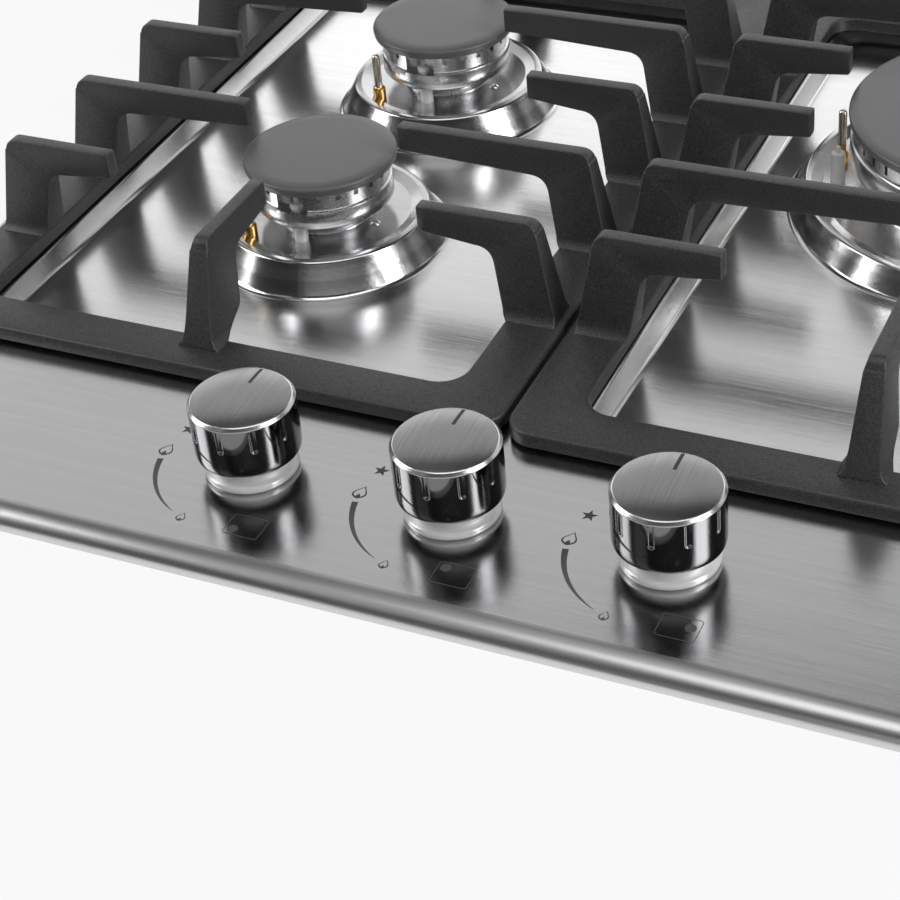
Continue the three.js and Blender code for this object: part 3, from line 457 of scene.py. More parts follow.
WOK = {"foot": 0.0935, "rise": 0.0113, "run": 0.007, "drop": 0.002, "hole": 0.0506,
       "spark": (0.0734, 205), "sensor": (0.0734, 180)}
BURNERS = {"front_left": ((-0.140, -0.024), SMALL), "rear_left": ((-0.140, 0.109), SMALL),
           "right": ((0.140, 0.088), WOK)}


def off(centre, distance, degrees):
    t = math.radians(degrees)
    return (centre[0] + distance * math.cos(t), centre[1] + distance * math.sin(t))


def dish_level(size):
    """Level of a burner's dish in mm over the plate; the dishes lie in the basins."""
    return (FLOOR - TOP + size["rise"] - size["drop"]) / MM


print("burners at", [centre for centre, size in BURNERS.values()])

# %% [markdown]
# The profile of each pressing is a polyline with its corners rounded. Everything is laid as one thin
# face first, and a Solidify modifier then gives the sheet its thickness.

# %% The pressed sheet
def smooth_corner(points, radii, steps):
    """A polyline in the profile plane whose inner corners are rounded by arcs of the given radii."""
    points = [np.array(p, float) for p in points]
    out = [points[0]]
    for i, r in enumerate(radii, start=1):
        before, here, after = points[i - 1], points[i], points[i + 1]
        u = (before - here) / np.linalg.norm(before - here)
        v = (after - here) / np.linalg.norm(after - here)
        half = math.acos(max(-1, min(1, float(u @ v)))) / 2
        room = 0.48 * min(np.linalg.norm(before - here), np.linalg.norm(after - here))
        reach = min(r / math.tan(half), room)
        r = reach * math.tan(half)
        middle = here + (u + v) / np.linalg.norm(u + v) * r / math.sin(half)
        start, end = here + u * reach, here + v * reach
        a0 = math.atan2(*(start - middle)[::-1])
        a1 = math.atan2(*(end - middle)[::-1])
        turn_by = (a1 - a0 + math.pi) % (2 * math.pi) - math.pi
        out.extend(middle + r * ray(a0 + turn_by * np.linspace(0, 1, steps)))
    out.append(points[-1])
    return np.array(out)


def pressed_sheet():
    """Rim, flats, basin walls and cones, all welded, then given the sheet's thickness."""
    bend = np.linspace(0, math.pi / 2, 16)
    roll = np.column_stack([ROLL * (1 - np.cos(bend)), TOP - ROLL_DROP * (1 - np.sin(bend))])
    rim = np.vstack([[[0, UNDERSIDE]], roll, [[ROLL + STRIP, TOP]]])
    parts = [carry(rim, HALF_X, HALF_Y, CORNER, (0, 0))]
    wall = smooth_corner([(STRIP - EASE, TOP), (0.0, TOP), (WALL_RUN, FLOOR), (WALL_RUN + EASE, FLOOR)],
                         [0.0030, 0.0036], 8)
    foot_in = WALL_RUN + EASE + STRIP
    wall = np.vstack([[[-EASE, TOP]], wall, [[foot_in, FLOOR]]])
    outer = rounded(HALF_X - ROLL - STRIP, HALF_Y - ROLL - STRIP, LEAST_RADIUS)
    lips, floors = [], []
    half_x, half_y = BASIN_HALF
    for side in (-1, 1):
        centre = (side * BASIN_X, BASIN_Y)
        parts.append(carry(wall, half_x, half_y, BASIN_CORNER, centre))
        lips.append(rounded(half_x + EASE, half_y + EASE, BASIN_CORNER + EASE, centre))
        floors.append(rounded(half_x - foot_in, half_y - foot_in, BASIN_CORNER - foot_in, centre))
    knob_holes = [circle(place, KNOB_HOLE, 48) for place in KNOB_PLACES]
    parts.append(flat_sheet(outer, lips + knob_holes, TOP))
    feet = {-1: [], 1: []}
    for centre, size in BURNERS.values():
        high = FLOOR + size["rise"]
        dish = high - size["drop"]
        foot, crest = size["foot"], size["foot"] - size["run"]
        steps = 160 if size is WOK else 120
        outer, inner = foot + CONE_EASE, crest - DISH_IN
        cone = smooth_corner([
            (outer - STRIP, FLOOR), (foot, FLOOR), (crest + 0.0004, high), (crest - 0.0026, high),
            (crest - 0.0075, dish), (inner + STRIP, dish)], [0.0032, 0.0017, 0.0012, 0.0022], 7)
        cone = np.vstack([[[outer, FLOOR]], cone, [[inner, dish]]])
        parts.append(turn(cone, centre, steps))
        feet[-1 if centre[0] < 0 else 1].append(circle(centre, outer, steps))
        holes = [circle(centre, size["hole"], 64)]
        for distance, degrees in (size["spark"], size["sensor"]):
            if distance + WIRE_HOLE < inner:
                holes.append(circle(off(centre, distance, degrees), WIRE_HOLE, 24))
        parts.append(flat_sheet(circle(centre, inner, steps), holes, dish))
    for side, floor in zip((-1, 1), floors):
        parts.append(flat_sheet(floor, feet[side], FLOOR))
    verts, faces = together(*parts)
    piece = to_object("pressed_top", verts, faces, STEEL, 50.0, False)
    outward(piece.data, open_sheet=True)
    wall_of_sheet = piece.modifiers.new("sheet", "SOLIDIFY")
    wall_of_sheet.thickness, wall_of_sheet.offset = SHEET, -1
    return settled_shape(piece, 38.0)


def settled_shape(piece, crease):
    """The modifiers applied, and then the sharp edges marked, so that level faces shade level."""
    seen = piece.evaluated_get(bpy.context.evaluated_depsgraph_get())
    shape = bpy.data.meshes.new_from_object(seen)
    piece.modifiers.clear()
    piece.data = shape
    shape.name = piece.name
    shape.shade_smooth()
    shape.set_sharp_from_angle(angle=math.radians(crease))
    return piece


sheet = stands_for(pressed_sheet(), "top_plate")
print("pressed sheet:", len(sheet.data.vertices), "vertices")

# %% [markdown]
# Burners are turned parts, so each is one profile spun round its axis. The flame ports are notches:
# where the angle falls inside a port, the wall is pulled in, and the grid has columns right at the
# edges of each port so that its sides stay upright.

# %% Burner shapes
def port_angles(count, width, radius, notch=None):
    """Angles for the columns of a ported wall, with a mask that is 1 inside a port. The first port is
    half a pitch from the rear (90 degrees), and there is none where the notch (angle, half width) is."""
    half, edge, pitch = math.degrees(width / radius) / 2, 0.05, 360 / count
    angles, inside = [], []
    for k in range(count):
        middle = 90 + (k + 0.5) * 360 / count
        skip = notch and abs((middle - notch[0] + 180) % 360 - 180) < notch[1] + half
        before, after = middle - pitch / 2, middle + pitch / 2
        angles += [before, before + pitch * 0.13, before + pitch * 0.26, middle - half - edge,
                   middle - half, middle + half, middle + half + edge, after - pitch * 0.26,
                   after - pitch * 0.13]
        inside += [0] * 9 if skip else [0, 0, 0, 0, 1, 1, 0, 0, 0]
    return np.radians(angles), np.array(inside, float)


def ported_ring(rows, centre, angles, inside, port_rows, depth, notch=None):
    """Rows (radius, z) spun over the given angles; inside ports the rows marked 1 move in by depth.
    A notch (angle, half width, depth, rows) pulls the wall in over a wider stretch."""
    rows = np.asarray(rows, float)
    r = rows[:, :1] - np.asarray(port_rows, float)[:, None] * inside * depth
    if notch:
        away = np.abs((np.degrees(angles) - notch[0] + 180) % 360 - 180) < notch[1]
        pulled = np.asarray(notch[3], float)[:, None] * away
        r = np.where(pulled > 0, np.minimum(r, notch[2]), r)
    return spun(r, rows[:, 1:], angles, centre), ring_faces(len(rows), len(angles))


def small_ring(centre):
    """Body of a small burner: spigot, sloping underside, smooth band, band with ports and trough, with a
    notch for the electrode."""
    rows = [(9, 9), (15.7, 9), (15.7, 13), (20, 13), (29.6, 14.7), (30.8, 15.1), (31.4, 16),
            (31.45, 19.5), (31.4, 23), (31.1, 23.7), (30.5, 24), (30.2, 24.3), (30.2, 28.4), (30.2, 28.4),
            (30.2, 33), (25.6, 33), (25.6, 20), (9, 20), (9, 9)]
    port_rows = [0] * 13 + [1] * 2 + [0] * 4
    notch_rows = [0] * 9 + [1] * 6 + [0] * 4
    middle, half, edge = -90, 14, 0.01
    angles, inside = port_angles(22, 2.2, 30.2, (middle, half))
    notch_sides = np.radians([middle - half - edge, middle - half + edge, middle + half - edge,
                              middle + half + edge])
    angles = np.concatenate([angles, notch_sides]) % (2 * np.pi)
    inside = np.concatenate([inside, np.zeros(4)])
    order = np.argsort(angles)
    return ported_ring(over_plate(rows), centre, angles[order], inside[order], port_rows, 4.2 * MM,
                       (middle, half, 25.7 * MM, notch_rows))


def wok_ring(centre):
    """Body of the wok burner: outer ring with ports, four bridges and the inner crown."""
    rows = [(45, 10), (52.6, 10), (52.6, 14), (57, 14), (64.8, 16.7), (66.6, 17.1), (67.5, 18.4),
            (67.6, 22), (67.5, 26.4), (67.1, 27.5), (66.4, 27.9), (66, 28.4), (66, 30.4), (66, 30.4),
            (66, 36), (61, 36), (61, 22), (47.5, 22), (47.5, 36), (45, 36), (45, 10)]
    port_rows = [0] * 13 + [1] * 2 + [0] * 6
    parts = [ported_ring(over_plate(rows), centre, *port_angles(44, 1.7, 66), port_rows, 4.4 * MM)]
    hub = [(7, -15.2), (11, -15.2), (11, 16), (23.6, 19.4), (25, 21), (25, 30.4), (25, 30.4), (25, 35),
           (21, 35), (21, 21), (7, 21), (7, -15.2)]
    port_rows = [0] * 6 + [1] * 2 + [0] * 4
    parts.append(ported_ring(over_plate(hub), centre, *port_angles(16, 1.8, 25), port_rows, 3.6 * MM))
    section = ((-6, 20.6), (-5.4, 20), (5.4, 20), (6, 20.6), (6, 25.2), (5.2, 26), (-5.2, 26), (-6, 25.2))
    for k in range(4):
        t = math.radians(45 + 90 * k)
        along, side = np.array([math.cos(t), math.sin(t)]), np.array([-math.sin(t), math.cos(t)])
        box = []
        for distance in (23.5, 46.5):
            for across, level in section:
                flat = np.array(centre) + (along * distance + side * across) * MM
                box.append((*flat, TOP + level * MM))
        parts.append((np.array(box), ring_faces(2, 8) + [tuple(range(7, -1, -1)), tuple(range(8, 16))]))
    return together(*parts)


def round_cap(radius, rim, low, high, lip=3.0, inner=0.0):
    """Profile of an enamelled cap, in mm until the last line: locating rim, underside, rounded edge,
    and a crown z = high + 0.35 (1 - (r / R)^2). With an inner radius it is a ring."""
    span = radius - lip
    edge = smooth_corner([(radius - 3.4, low), (radius - 0.6, low), (radius + 0.05, high - 1.0),
                          (span, high)], [1.2, 1.3], 8)
    start = [(inner, low + 0.5), (rim - 2, low + 0.5), (rim - 2, low - 2), (rim, low - 2), (rim, low)]
    crown = np.linspace(span, inner, 10)[1:]
    dome = np.column_stack([crown, high + 0.35 * (1 - (crown / span) ** 2)])
    return over_plate([*start, *edge, *dome, *(start[:1] if inner else [])])


print("columns of a small burner's ring:", len(port_angles(22, 2.2, 30.2)[0]) + 4)

# %% [markdown]
# A burner stands on its dish as a stack: an open cup below, the ring with the ports, and the cap on
# top. The wok burner has a ring for a cap, and a small cap over its inner crown.

# %% Cups, rings, caps
def cup_profile(hole, flange, neck, inner, seat, dish, low):
    """Cup: injector boss, wall, flange that lies on the dish, neck, open inside."""
    rows = [(0, low - 10), (10, low - 10), (10, low), (hole, low), (hole, dish), (flange - 0.5, dish),
            (flange, dish + 0.5), (flange - 0.1, dish + 1.1), (flange - 0.6, dish + 1.5),
            (neck + 1.0, dish + 1.5), (neck, dish + 2.4), (neck, seat), (inner, seat), (inner, low + 2.5),
            (0, low + 2.5)]
    return over_plate(rows)


for name, (centre, size) in BURNERS.items():
    dish, suffix = dish_level(size), "_ring" if size is WOK else ""
    if size is SMALL:
        cup = turn(cup_profile(18, 21.5, 20, 16, 13, dish, -17), centre, 96)
        ring, cap = small_ring(centre), turn(round_cap(34.7, 25.3, 33, 38), centre, 160)
    else:
        cup = turn(cup_profile(50, 60, 57, 53, 14, dish, -18), centre, 160)
        ring, cap = wok_ring(centre), turn(round_cap(68.5, 60.7, 36, 41, 2.6, 43.5), centre, 200)
        middle = turn(round_cap(27.5, 20.7, 35, 39.5, 2.6), centre, 120)
        stands_for(to_object("centre_cap", *middle, ENAMEL),
                   "burner_cap_right_centre", "cap_right_centre")
    stands_for(to_object(f"cup_{name}", *cup, ALUMINIUM), f"burner_cup_{name}")
    stands_for(to_object(f"ring_body_{name}", *ring, ALUMINIUM),
               f"burner_ring_{name}", f"ring_{name}")
    stands_for(to_object(f"cap_top_{name}", *cap, ENAMEL),
               f"burner_cap_{name}{suffix}", f"cap_{name}{suffix}")
print("burners made:", ", ".join(BURNERS))

# %% [markdown]
# A white ceramic electrode lights each burner, and a thin rod in a brass ferrule feels its flame.

# %% Electrodes and sensors
for name, (centre, size) in BURNERS.items():
    dish = dish_level(size)
    spark_rows = [(0, dish - 14), (3.2, dish - 14), (3.2, 24.6), (3.0, 25.2), (2.5, 25.5), (1.1, 25.5),
                  (1.1, 28), (0.8, 28.5), (0, 28.5)]
    spark = turn(over_plate(spark_rows), off(centre, *size["spark"]), 32)
    stands_for(to_object(f"electrode_{name}", *spark, CERAMIC), f"spark_electrode_{name}")
    sensor_rows = [(0, dish - 12), (3.1, dish - 12), (3.1, dish + 4.6), (2.9, dish + 5.2),
                   (2.4, dish + 5.5), (1.9, dish + 6.1), (1.9, 27.6), (1.6, 28.5), (1.0, 29), (0, 29)]
    sensor = turn(over_plate(sensor_rows), off(centre, *size["sensor"]), 32)
    stands_for(to_object(f"sensor_{name}", *sensor, BRASS_ROD), f"flame_sensor_{name}")
print("electrodes and sensors:", 2 * len(BURNERS))

# %% [markdown]
# Two small screws hold each cup. Their heads are domes with a cross sunk into them.

# %% Screws on the dishes
def screw(name, place, level):
    """A low head in mm, z = level + 1.35 cos(pi r / 2R)^0.7, held at 0.75 on two narrow crossed strips."""
    steps, rings = 48, np.array([0.0, 0.25, 0.5, 0.8, 1.15, 1.5, 1.85, 2.1, 2.25, 2.3])
    angle = np.linspace(0, 2 * np.pi, steps, endpoint=False)
    r = rings[:, None] + 0 * angle
    x, y = r * np.cos(angle), r * np.sin(angle)
    dome = 1.35 * np.cos(r / 2.3 * np.pi / 2) ** 0.7
    cross = (np.minimum(abs(x), abs(y)) < 0.27) & (r < 1.3)
    z = level + np.where(cross, np.minimum(dome, 0.75), dome)
    grid = np.stack([place[0] + x * MM, place[1] + y * MM, TOP + z * MM], axis=-1)[::-1].reshape(-1, 3)
    foot = at_level(grid[:steps, :2], TOP + (level - 0.3) * MM)
    verts = np.vstack([foot, grid])
    faces = ring_faces(len(rings) + 1, steps) + [tuple(range(steps))[::-1]]
    return settle(to_object(name, verts, faces, CHROME, 35.0))


for name, (centre, size) in BURNERS.items():
    reach, turns = (26.5, (-8, 172)) if size is SMALL else (71.5, (-20, 95))
    for k, degrees in enumerate(turns, start=1):
        screw(f"dish_screw_{name}_{k}", off(centre, reach * MM, degrees), dish_level(size))
print("dish screws placed:", 2 * len(BURNERS))

# %% [markdown]
# The knobs are turned and polished, with ten shallow slots down from the top edge. A slot has a round
# lower end, and a short slope runs from the wall down to its flat bottom.

# %% Knob surface
KNOB = {  # millimetres and degrees
    "foot": 20.45, "flare": 0.55, "wide": 21.0,  # radius at the foot, what it gains, radius above
    # slots: how many, half width, depth, width of the slope at the side, lowest point
    "count": 10, "groove": 1.35, "depth": 0.6, "slope": 0.75, "end": 20.9,
    "disc": 19.5, "mark": (8.0, 19.0, 0.7), "turned": 93.0}  # brushed disc; mark from, to, half width


def knob_grid(centre, steps=720):
    """r(t, z) = profile radius - depth (3 s^2 - 2 s^3). Here s runs from 0 at the outline of a slot to 1
    where its bottom begins, and the outline is a strip up the wall with a round lower end."""
    wall = np.concatenate([[10.3, 10.8, 12.0, 14.0, 16.0, 18.0, 19.0], np.linspace(19.4, 23.2, 20),
                           [24.5, 26.5, 28.5, 30.0, 30.7, 31.0, 31.2, 31.21, 31.35, 31.5]])
    taper = KNOB["foot"] + KNOB["flare"] * np.clip((wall - 10.0) / 2.2, 0, 1) ** 0.5
    side = np.column_stack([taper, wall])
    bottom = [(18.1, 9.9), (20.1, 9.9), (20.4, 10.05)]
    edge = [(20.97, 31.7), (20.86, 31.9), (20.7, 32.06), (20.15, 32.68), (20.0, 32.86), (19.82, 33.0),
            (19.6, 33.1), (19.4, 33.16)]
    crown = np.linspace(19.3, 0.0, 22)
    dome = np.column_stack([crown, 33.18 + 1.25 * (1 - (crown / 19.3) ** 2.8)])
    inside = [(4.3, 14.0), (7.5, 14.0), (7.5, 27.5), (17.8, 27.5), (17.8, 10.1)]
    rows = np.vstack([inside, bottom, side, edge, dome])
    cut_rows = np.zeros(len(rows))
    first = len(inside) + len(bottom)
    cut_rows[first:first + len(side) - 3] = 1  # the slots stop three rows under the edge
    angle = np.linspace(0, 2 * np.pi, steps, endpoint=False)
    r, z = rows[:, :1] + 0 * angle, rows[:, 1:] + 0 * angle
    pitch = 2 * np.pi / KNOB["count"]
    near = (angle - math.radians(KNOB["turned"]) + pitch / 2) % pitch - pitch / 2
    across = KNOB["wide"] * np.sin(near)
    below = np.minimum(z - (KNOB["end"] + KNOB["groove"]), 0)
    inside_by = (KNOB["groove"] - np.hypot(across, below)) / KNOB["slope"]
    slot = np.clip(inside_by, 0, 1)
    r = r - cut_rows[:, None] * KNOB["depth"] * slot * slot * (3 - 2 * slot)
    x, y = centre[0] + r * np.cos(angle) * MM, centre[1] + r * np.sin(angle) * MM
    return np.stack([x, y, TOP + z * MM], axis=-1).reshape(-1, 3), ring_faces(len(rows), steps)


def knob_finish():
    """Polished wall that mirrors darkly, its colour painted dark grey as a painted dark reflection, a
    duller bevel in bright chrome, and a top disc, also painted darker, brushed straight along its black
    mark, which ends near the edge. The knobs stand in a row, so one pattern repeats at their spacing."""
    finish = Finish("knob_chrome", Metallic=1.0)
    x, y, z = finish.xyz()
    above = z.fade(TOP + 31.5 * MM, TOP + 31.7 * MM)  # over the end of the wall
    top = z.fade(TOP + 33.08 * MM, TOP + 33.14 * MM)  # over the end of the bevel
    from_row = y - KNOB_ROW
    column = (x + KNOB_PITCH / 2 + KNOB_PITCH).math("MODULO", KNOB_PITCH) - KNOB_PITCH / 2
    turned = math.radians(KNOB["turned"] - 90)
    along = from_row * math.cos(turned) - column * math.sin(turned)
    across = column * math.cos(turned) + from_row * math.sin(turned)
    disc = top * ((column * column + from_row * from_row) ** 0.5 < KNOB["disc"] * MM)
    rim = above * (1 - disc)
    start, end, half = (value * MM for value in KNOB["mark"])
    mark = disc * (abs(across) < half) * (along > start) * (along < end)
    grain_place = finish.out(finish.node("CombineXYZ", X=across * 5200.0, Y=along * 40.0, Z=x * 40.0))
    brush = finish.noise(1.0, roughness=0.6, where=grain_place)
    smear = finish.noise(90.0)
    blur = 0.045 + smear * 0.02 + rim * 0.2 + disc * (0.14 + brush * 0.08) + mark * 0.2
    finish.feed(Roughness=blur, Metallic=1 - mark)
    # painted reflection: the wall and the disc get a dark grey colour for the dark room they mirror; the
    # brush streaks on the disc are its grain
    dark_reflection_and_grain = disc * (0.58 + brush * 0.36) + (1 - above)
    steel = finish.tint(dark_reflection_and_grain, (0.78, 0.78, 0.79), (0.20, 0.20, 0.205))
    made = finish.node("Mix", {"data_type": "RGBA"}, _0=mark, _6=steel)
    made.inputs[7].default_value = (0.012, 0.012, 0.012, 1)
    finish.feed(Base_Color=finish.out(made, 2))
    return finish.relief(disc * brush * (1 - mark) * 0.6 - mark * 4.0, 0.00003, 0.8)


KNOB_FINISH = knob_finish()
PLACES = ("left", "middle", "right")
SKIRT_ROWS = [(6, -10), (12.5, -10), (12.5, 0), (17.2, 0), (17.9, 0.15), (18.5, 0.6), (18.8, 1.3),
              (18.8, 2.0), (18.6, 2.6), (18.2, 3.05), (17.6, 3.4), (16.6, 4.1), (15.6, 5.4), (15.0, 7.0),
              (14.7, 8.5), (6, 8.5), (6, -10)]
for place, centre in zip(PLACES, KNOB_PLACES):
    knob = to_object(f"knob_shell_{place}", *knob_grid(centre), KNOB_FINISH, 38.0)
    stands_for(knob, f"knob_{place}", f"control_{place}")
    ring = to_object(f"skirt_ring_{place}", *turn(over_plate(SKIRT_ROWS), centre), SATIN, 30.0)
    stands_for(ring, f"knob_ring_{place}")
print("knobs made, each with a skirt ring:", ", ".join(PLACES))

# %% [markdown]
# Grey signs are printed on the plate round each knob: a spark star, a large flame, an arc that thins
# out, a small flame, and a small plan of the hob with a dot for the burner that the knob serves.

# %% Printed signs
PLAN_AT = (15.5, -34.0)  # middle of the small plan, from the knob's axis


def prism(outer, holes, low, high):
    """A closed flat solid: a level face above, one below, and upright walls round every loop."""
    above, faces_above = flat_sheet(outer, holes, high)
    below, faces_below = flat_sheet(outer, holes, low)
    parts = [(above, faces_above), (below, [tuple(reversed(f)) for f in faces_below])]
    for loop in (outer, *holes):
        rings = np.vstack([at_level(loop, z) for z in (low, high)])
        parts.append((rings, ring_faces(2, len(loop))))
    return together(*parts)


def flame(centre, width, height):
    """Outline of a pointed drop, bent a little. Up its height u from 0 to 1 the half width is
    0.72 w sin(pi u^0.8) (1 - u)^0.35."""
    u = np.concatenate([[0], np.linspace(0.04, 1, 22)])
    half = width * 0.72 * np.sin(np.pi * u ** 0.8) * (1 - u) ** 0.35
    lean = 0.16 * width * u ** 2
    right_side = np.column_stack([lean + half, (u - 0.5) * height])
    left_side = np.column_stack([lean - half, (u - 0.5) * height])[1:-1][::-1]
    return np.vstack([right_side, left_side]) + centre


def star(centre, radius):
    """Five points: the radius falls to 0.42 of itself at every other corner."""
    corner = np.arange(10)
    r = np.where(corner % 2, 0.42, 1.0) * radius
    return centre + r[:, None] * ray(np.radians(90 + 36 * corner))


def crescent(centre, radius, start, end, width):
    """An arc whose width falls from full to nothing: half width = w / 2 (1 - u)^0.7."""
    u = np.linspace(0, 0.995, 40)
    spokes = ray(np.radians(start + (end - start) * u))
    half = (width / 2 * (1 - u) ** 0.7)[:, None]
    return np.vstack([centre + spokes * (radius + half), (centre + spokes * (radius - half))[::-1]])


def printed_signs(place, centre, dot):
    """All the signs of one knob, in mm from its axis, as one thin print on the plate."""
    big, little = (np.array(off((0, 0), 38.3, degrees)) for degrees in (182, 253))
    shapes = [
        (star(off((0, 0), 38.6, 160), 3.3), []),
        (flame(big, 4.8, 8.0), [flame(big + (0, 0.1), 3.7, 6.6)]),
        (flame(big + (0.1, -2.1), 1.5, 2.6), []),
        (crescent(np.zeros(2), 38.2, 191, 246, 2.5), []),
        (flame(little, 3.2, 5.2), [flame(little + (0, 0.1), 2.3, 4.1)]),
        (flame(little + (0.1, -1.3), 0.9, 1.6), []),
        (rounded(7.5, 5.9, 1.4, PLAN_AT), [rounded(7.2, 5.6, 1.1, PLAN_AT)]),
        (circle((PLAN_AT[0] + dot[0], PLAN_AT[1] + dot[1]), 2.1, 32), []),
    ]
    low, high = TOP - 0.02 * MM, TOP + 0.03 * MM
    parts = [prism(outer * MM + centre, [hole * MM + centre for hole in holes], low, high)
             for outer, holes in shapes]
    sign = to_object(f"printed_signs_{place}", *together(*parts), INK, 30.0, False)
    outward(sign.data)
    return settle(sign)


DOTS = ((-4.2, -2.6), (-4.2, 2.9), (4.0, 1.0))  # front left, rear left and right burner on the plan
for place, centre, dot in zip(PLACES, KNOB_PLACES, DOTS):
    printed_signs(place, centre, dot)
print("signs printed round", len(KNOB_PLACES), "knobs")

# %% [markdown]
# Each pan support is cast in one: a flat frame, and twelve fingers that lean in, bend over and run
# level. All their sizes are in millimetres. The frame is one section carried round, whose outer side
# follows the outline and whose inner side follows the window.

# %% Pan support frame
GRATE = {"centre": (140.5, 42.5), "half": (139.35, 196.1), "window": (114.15, 174.6), "corner": 12.0,
         "low": 1.6, "high": 8.2, "top": 52.5}  # levels over the plate: under and over the frame, arms


def frame_surface(side):
    """Section rows (t, inset, z): t runs from the outer outline (0) to the window (1)."""
    low, high, out_r, in_r = GRATE["low"], GRATE["high"], 1.7, 1.3
    round_out = [(0, out_r - out_r * math.cos(a), high - out_r + out_r * math.sin(a))
                 for a in np.radians([0, 20, 42, 66, 90])]
    round_in = [(1, -in_r + in_r * math.sin(a), high - in_r + in_r * math.cos(a))
                for a in np.radians([0, 24, 48, 70, 90])]
    rows = [(0, 0.6, low), (0, 0.15, low + 0.2), (0, 0, low + 0.6), *round_out, *round_in,
            (1, 0, low + 0.6), (1, -0.2, low + 0.15), (1, -0.6, low), (0, 0.6, low)]
    centre = (side * GRATE["centre"][0], GRATE["centre"][1])
    rings = []
    for t, inset, z in rows:
        half_x, half_y = (out * (1 - t) + window * t - inset
                          for out, window in zip(GRATE["half"], GRATE["window"]))
        outline = rounded(half_x, half_y, GRATE["corner"] - inset, centre, 12) * MM
        rings.append(at_level(outline, TOP + z * MM))
    return np.vstack(rings), ring_faces(len(rows), len(rings[0]))


print("frame:", len(frame_surface(1)[1]), "faces")

# %% [markdown]
# A finger is a rounded rectangle carried between two guide lines, the outer one over the top and the
# inner one under the arm. Its width shrinks from the foot to the arm, and its tip is rounded off.

# %% Pan support fingers
SIDE_LEG = {"inset": 3.2, "base": 23.2, "lean": 8.3, "heel": 3.0, "bar": 25.2}
END_LEG = {"inset": 11.6, "base": 26.0, "lean": 14.3, "heel": 9.0, "bar": 21.5}
RISE = GRATE["top"] - GRATE["high"]
ROOT, UNDER = RISE - 14.0, RISE - 11.6  # underside of the arm where it leaves the leg, and at its tip
TOP_ROUND, SINK, EDGE = 4.2, -4.0, 0.75  # bend over the shoulder, depth in the frame, rounding of edges
FOOT_WIDTH, ARM_WIDTH = 15, 6.4
TIP_ROWS = ((0.22, 0.12), (0.48, 0.34), (0.62, 0.66))  # each step out past the tip, and how much thinner


def guide_lines(leg, tip):
    """Outer and inner guide of a finger as (distance from the outline, height over the frame). Both lean
    in by x = inset + lean z / rise. Then the outer one turns by a quarter circle into the level top, and
    the inner one by a parabola into the underside, which rises a little to the tip."""
    outer = lambda z: np.column_stack([leg["inset"] + leg["lean"] * z / RISE, z])
    inner = lambda z: np.column_stack([leg["inset"] + leg["base"] + leg["lean"] * z / RISE, z])
    heel = np.sin(np.linspace(0, np.pi / 2, 7))
    heel_z = leg["heel"] * np.linspace(0, 1, 7)
    heel_x = leg["bar"] + (inner(np.array([leg["heel"]]))[0, 0] - leg["bar"]) * heel
    outer_z = np.linspace(leg["heel"] + 1.2, RISE - 4.6, 12)
    inner_z = np.linspace(leg["heel"] + 1.2, ROOT - 7.5, 12)
    o = outer(np.array([RISE]))[0, 0]
    i = leg["inset"] + leg["base"] + leg["lean"] * ROOT / RISE
    bend = np.linspace(0, 1, 9)
    outer_bend = np.column_stack([o + TOP_ROUND * (1 - np.cos(bend * np.pi / 2)) - 0.35 * (1 - bend),
                                  RISE - TOP_ROUND * (1 - np.sin(bend * np.pi / 2))])
    b = bend[:, None]
    p0, p1, p2 = inner(np.array([ROOT - 7.0]))[0], np.array([i, ROOT]), np.array([i + 8.0, ROOT - 0.1])
    inner_bend = (1 - b) ** 2 * p0 + 2 * b * (1 - b) * p1 + b ** 2 * p2
    run = np.linspace(0.06, 1, 10)
    outer_run = np.column_stack([o + TOP_ROUND + (tip - o - TOP_ROUND) * run, np.full(10, RISE)])
    inner_run = np.column_stack([i + 8.0 + (tip - i - 8.0) * run, ROOT - 0.1 + (UNDER - ROOT + 0.1) * run])
    return (np.vstack([[[leg["inset"], SINK]], outer(heel_z), outer(outer_z), outer_bend, outer_run]),
            np.vstack([[[leg["bar"] - 1.2, SINK]], np.column_stack([heel_x, heel_z]), inner(inner_z),
                       inner_bend, inner_run]))


def finger_surface(leg, tip, base, heading):
    """Stations along the finger, each a rounded rectangle between its outer and inner guide point. The
    foot flares by 2.2 on each side over its lowest 4.5."""
    outer_line, inner_line = guide_lines(leg, tip)
    level = np.minimum(inner_line[:, 1], outer_line[:, 1])
    half = (FOOT_WIDTH + (ARM_WIDTH - FOOT_WIDTH) * np.clip(level / ROOT, 0, 1)) / 2
    half = half + 2.2 * np.clip(1 - level / 4.5, 0, 1) ** 2.2
    for out, less in TIP_ROWS:
        outer_line = np.vstack([outer_line, [[tip + out, RISE - less]]])
        inner_line = np.vstack([inner_line, [[tip + out, UNDER + less]]])
        half = np.append(half, half[-1] - less * 0.9)
    across = inner_line - outer_line
    length = np.linalg.norm(across, axis=1)
    unit = across / length[:, None]
    rings = []
    for sx, sy in QUADRANTS:
        corner = [(EDGE * (1 - math.cos(c)), EDGE * (1 - math.sin(c))) for c in np.radians([0, 30, 60, 90])]
        for in_x, in_y in corner if sx * sy > 0 else corner[::-1]:
            along = np.where(sy > 0, length - in_y, in_y)
            point = outer_line + unit * along[:, None]
            rings.append(np.column_stack([point[:, 0], sx * (half - in_x), point[:, 1]]))
    grid = np.stack(rings, axis=1)
    stations, columns = grid.shape[:2]
    flat = grid.reshape(-1, 3)
    t = math.radians(heading)
    x = base[0] + flat[:, 0] * math.cos(t) - flat[:, 1] * math.sin(t)
    y = base[1] + flat[:, 0] * math.sin(t) + flat[:, 1] * math.cos(t)
    verts = np.column_stack([x * MM, y * MM, TOP + (GRATE["high"] + flat[:, 2]) * MM])
    ends = [tuple(range(columns)), tuple(range((stations - 1) * columns, stations * columns))[::-1]]
    return verts, ring_faces(stations, columns) + ends


print("a finger:", len(finger_surface(SIDE_LEG, 60.0, (0, 0), 0)[0]), "vertices")

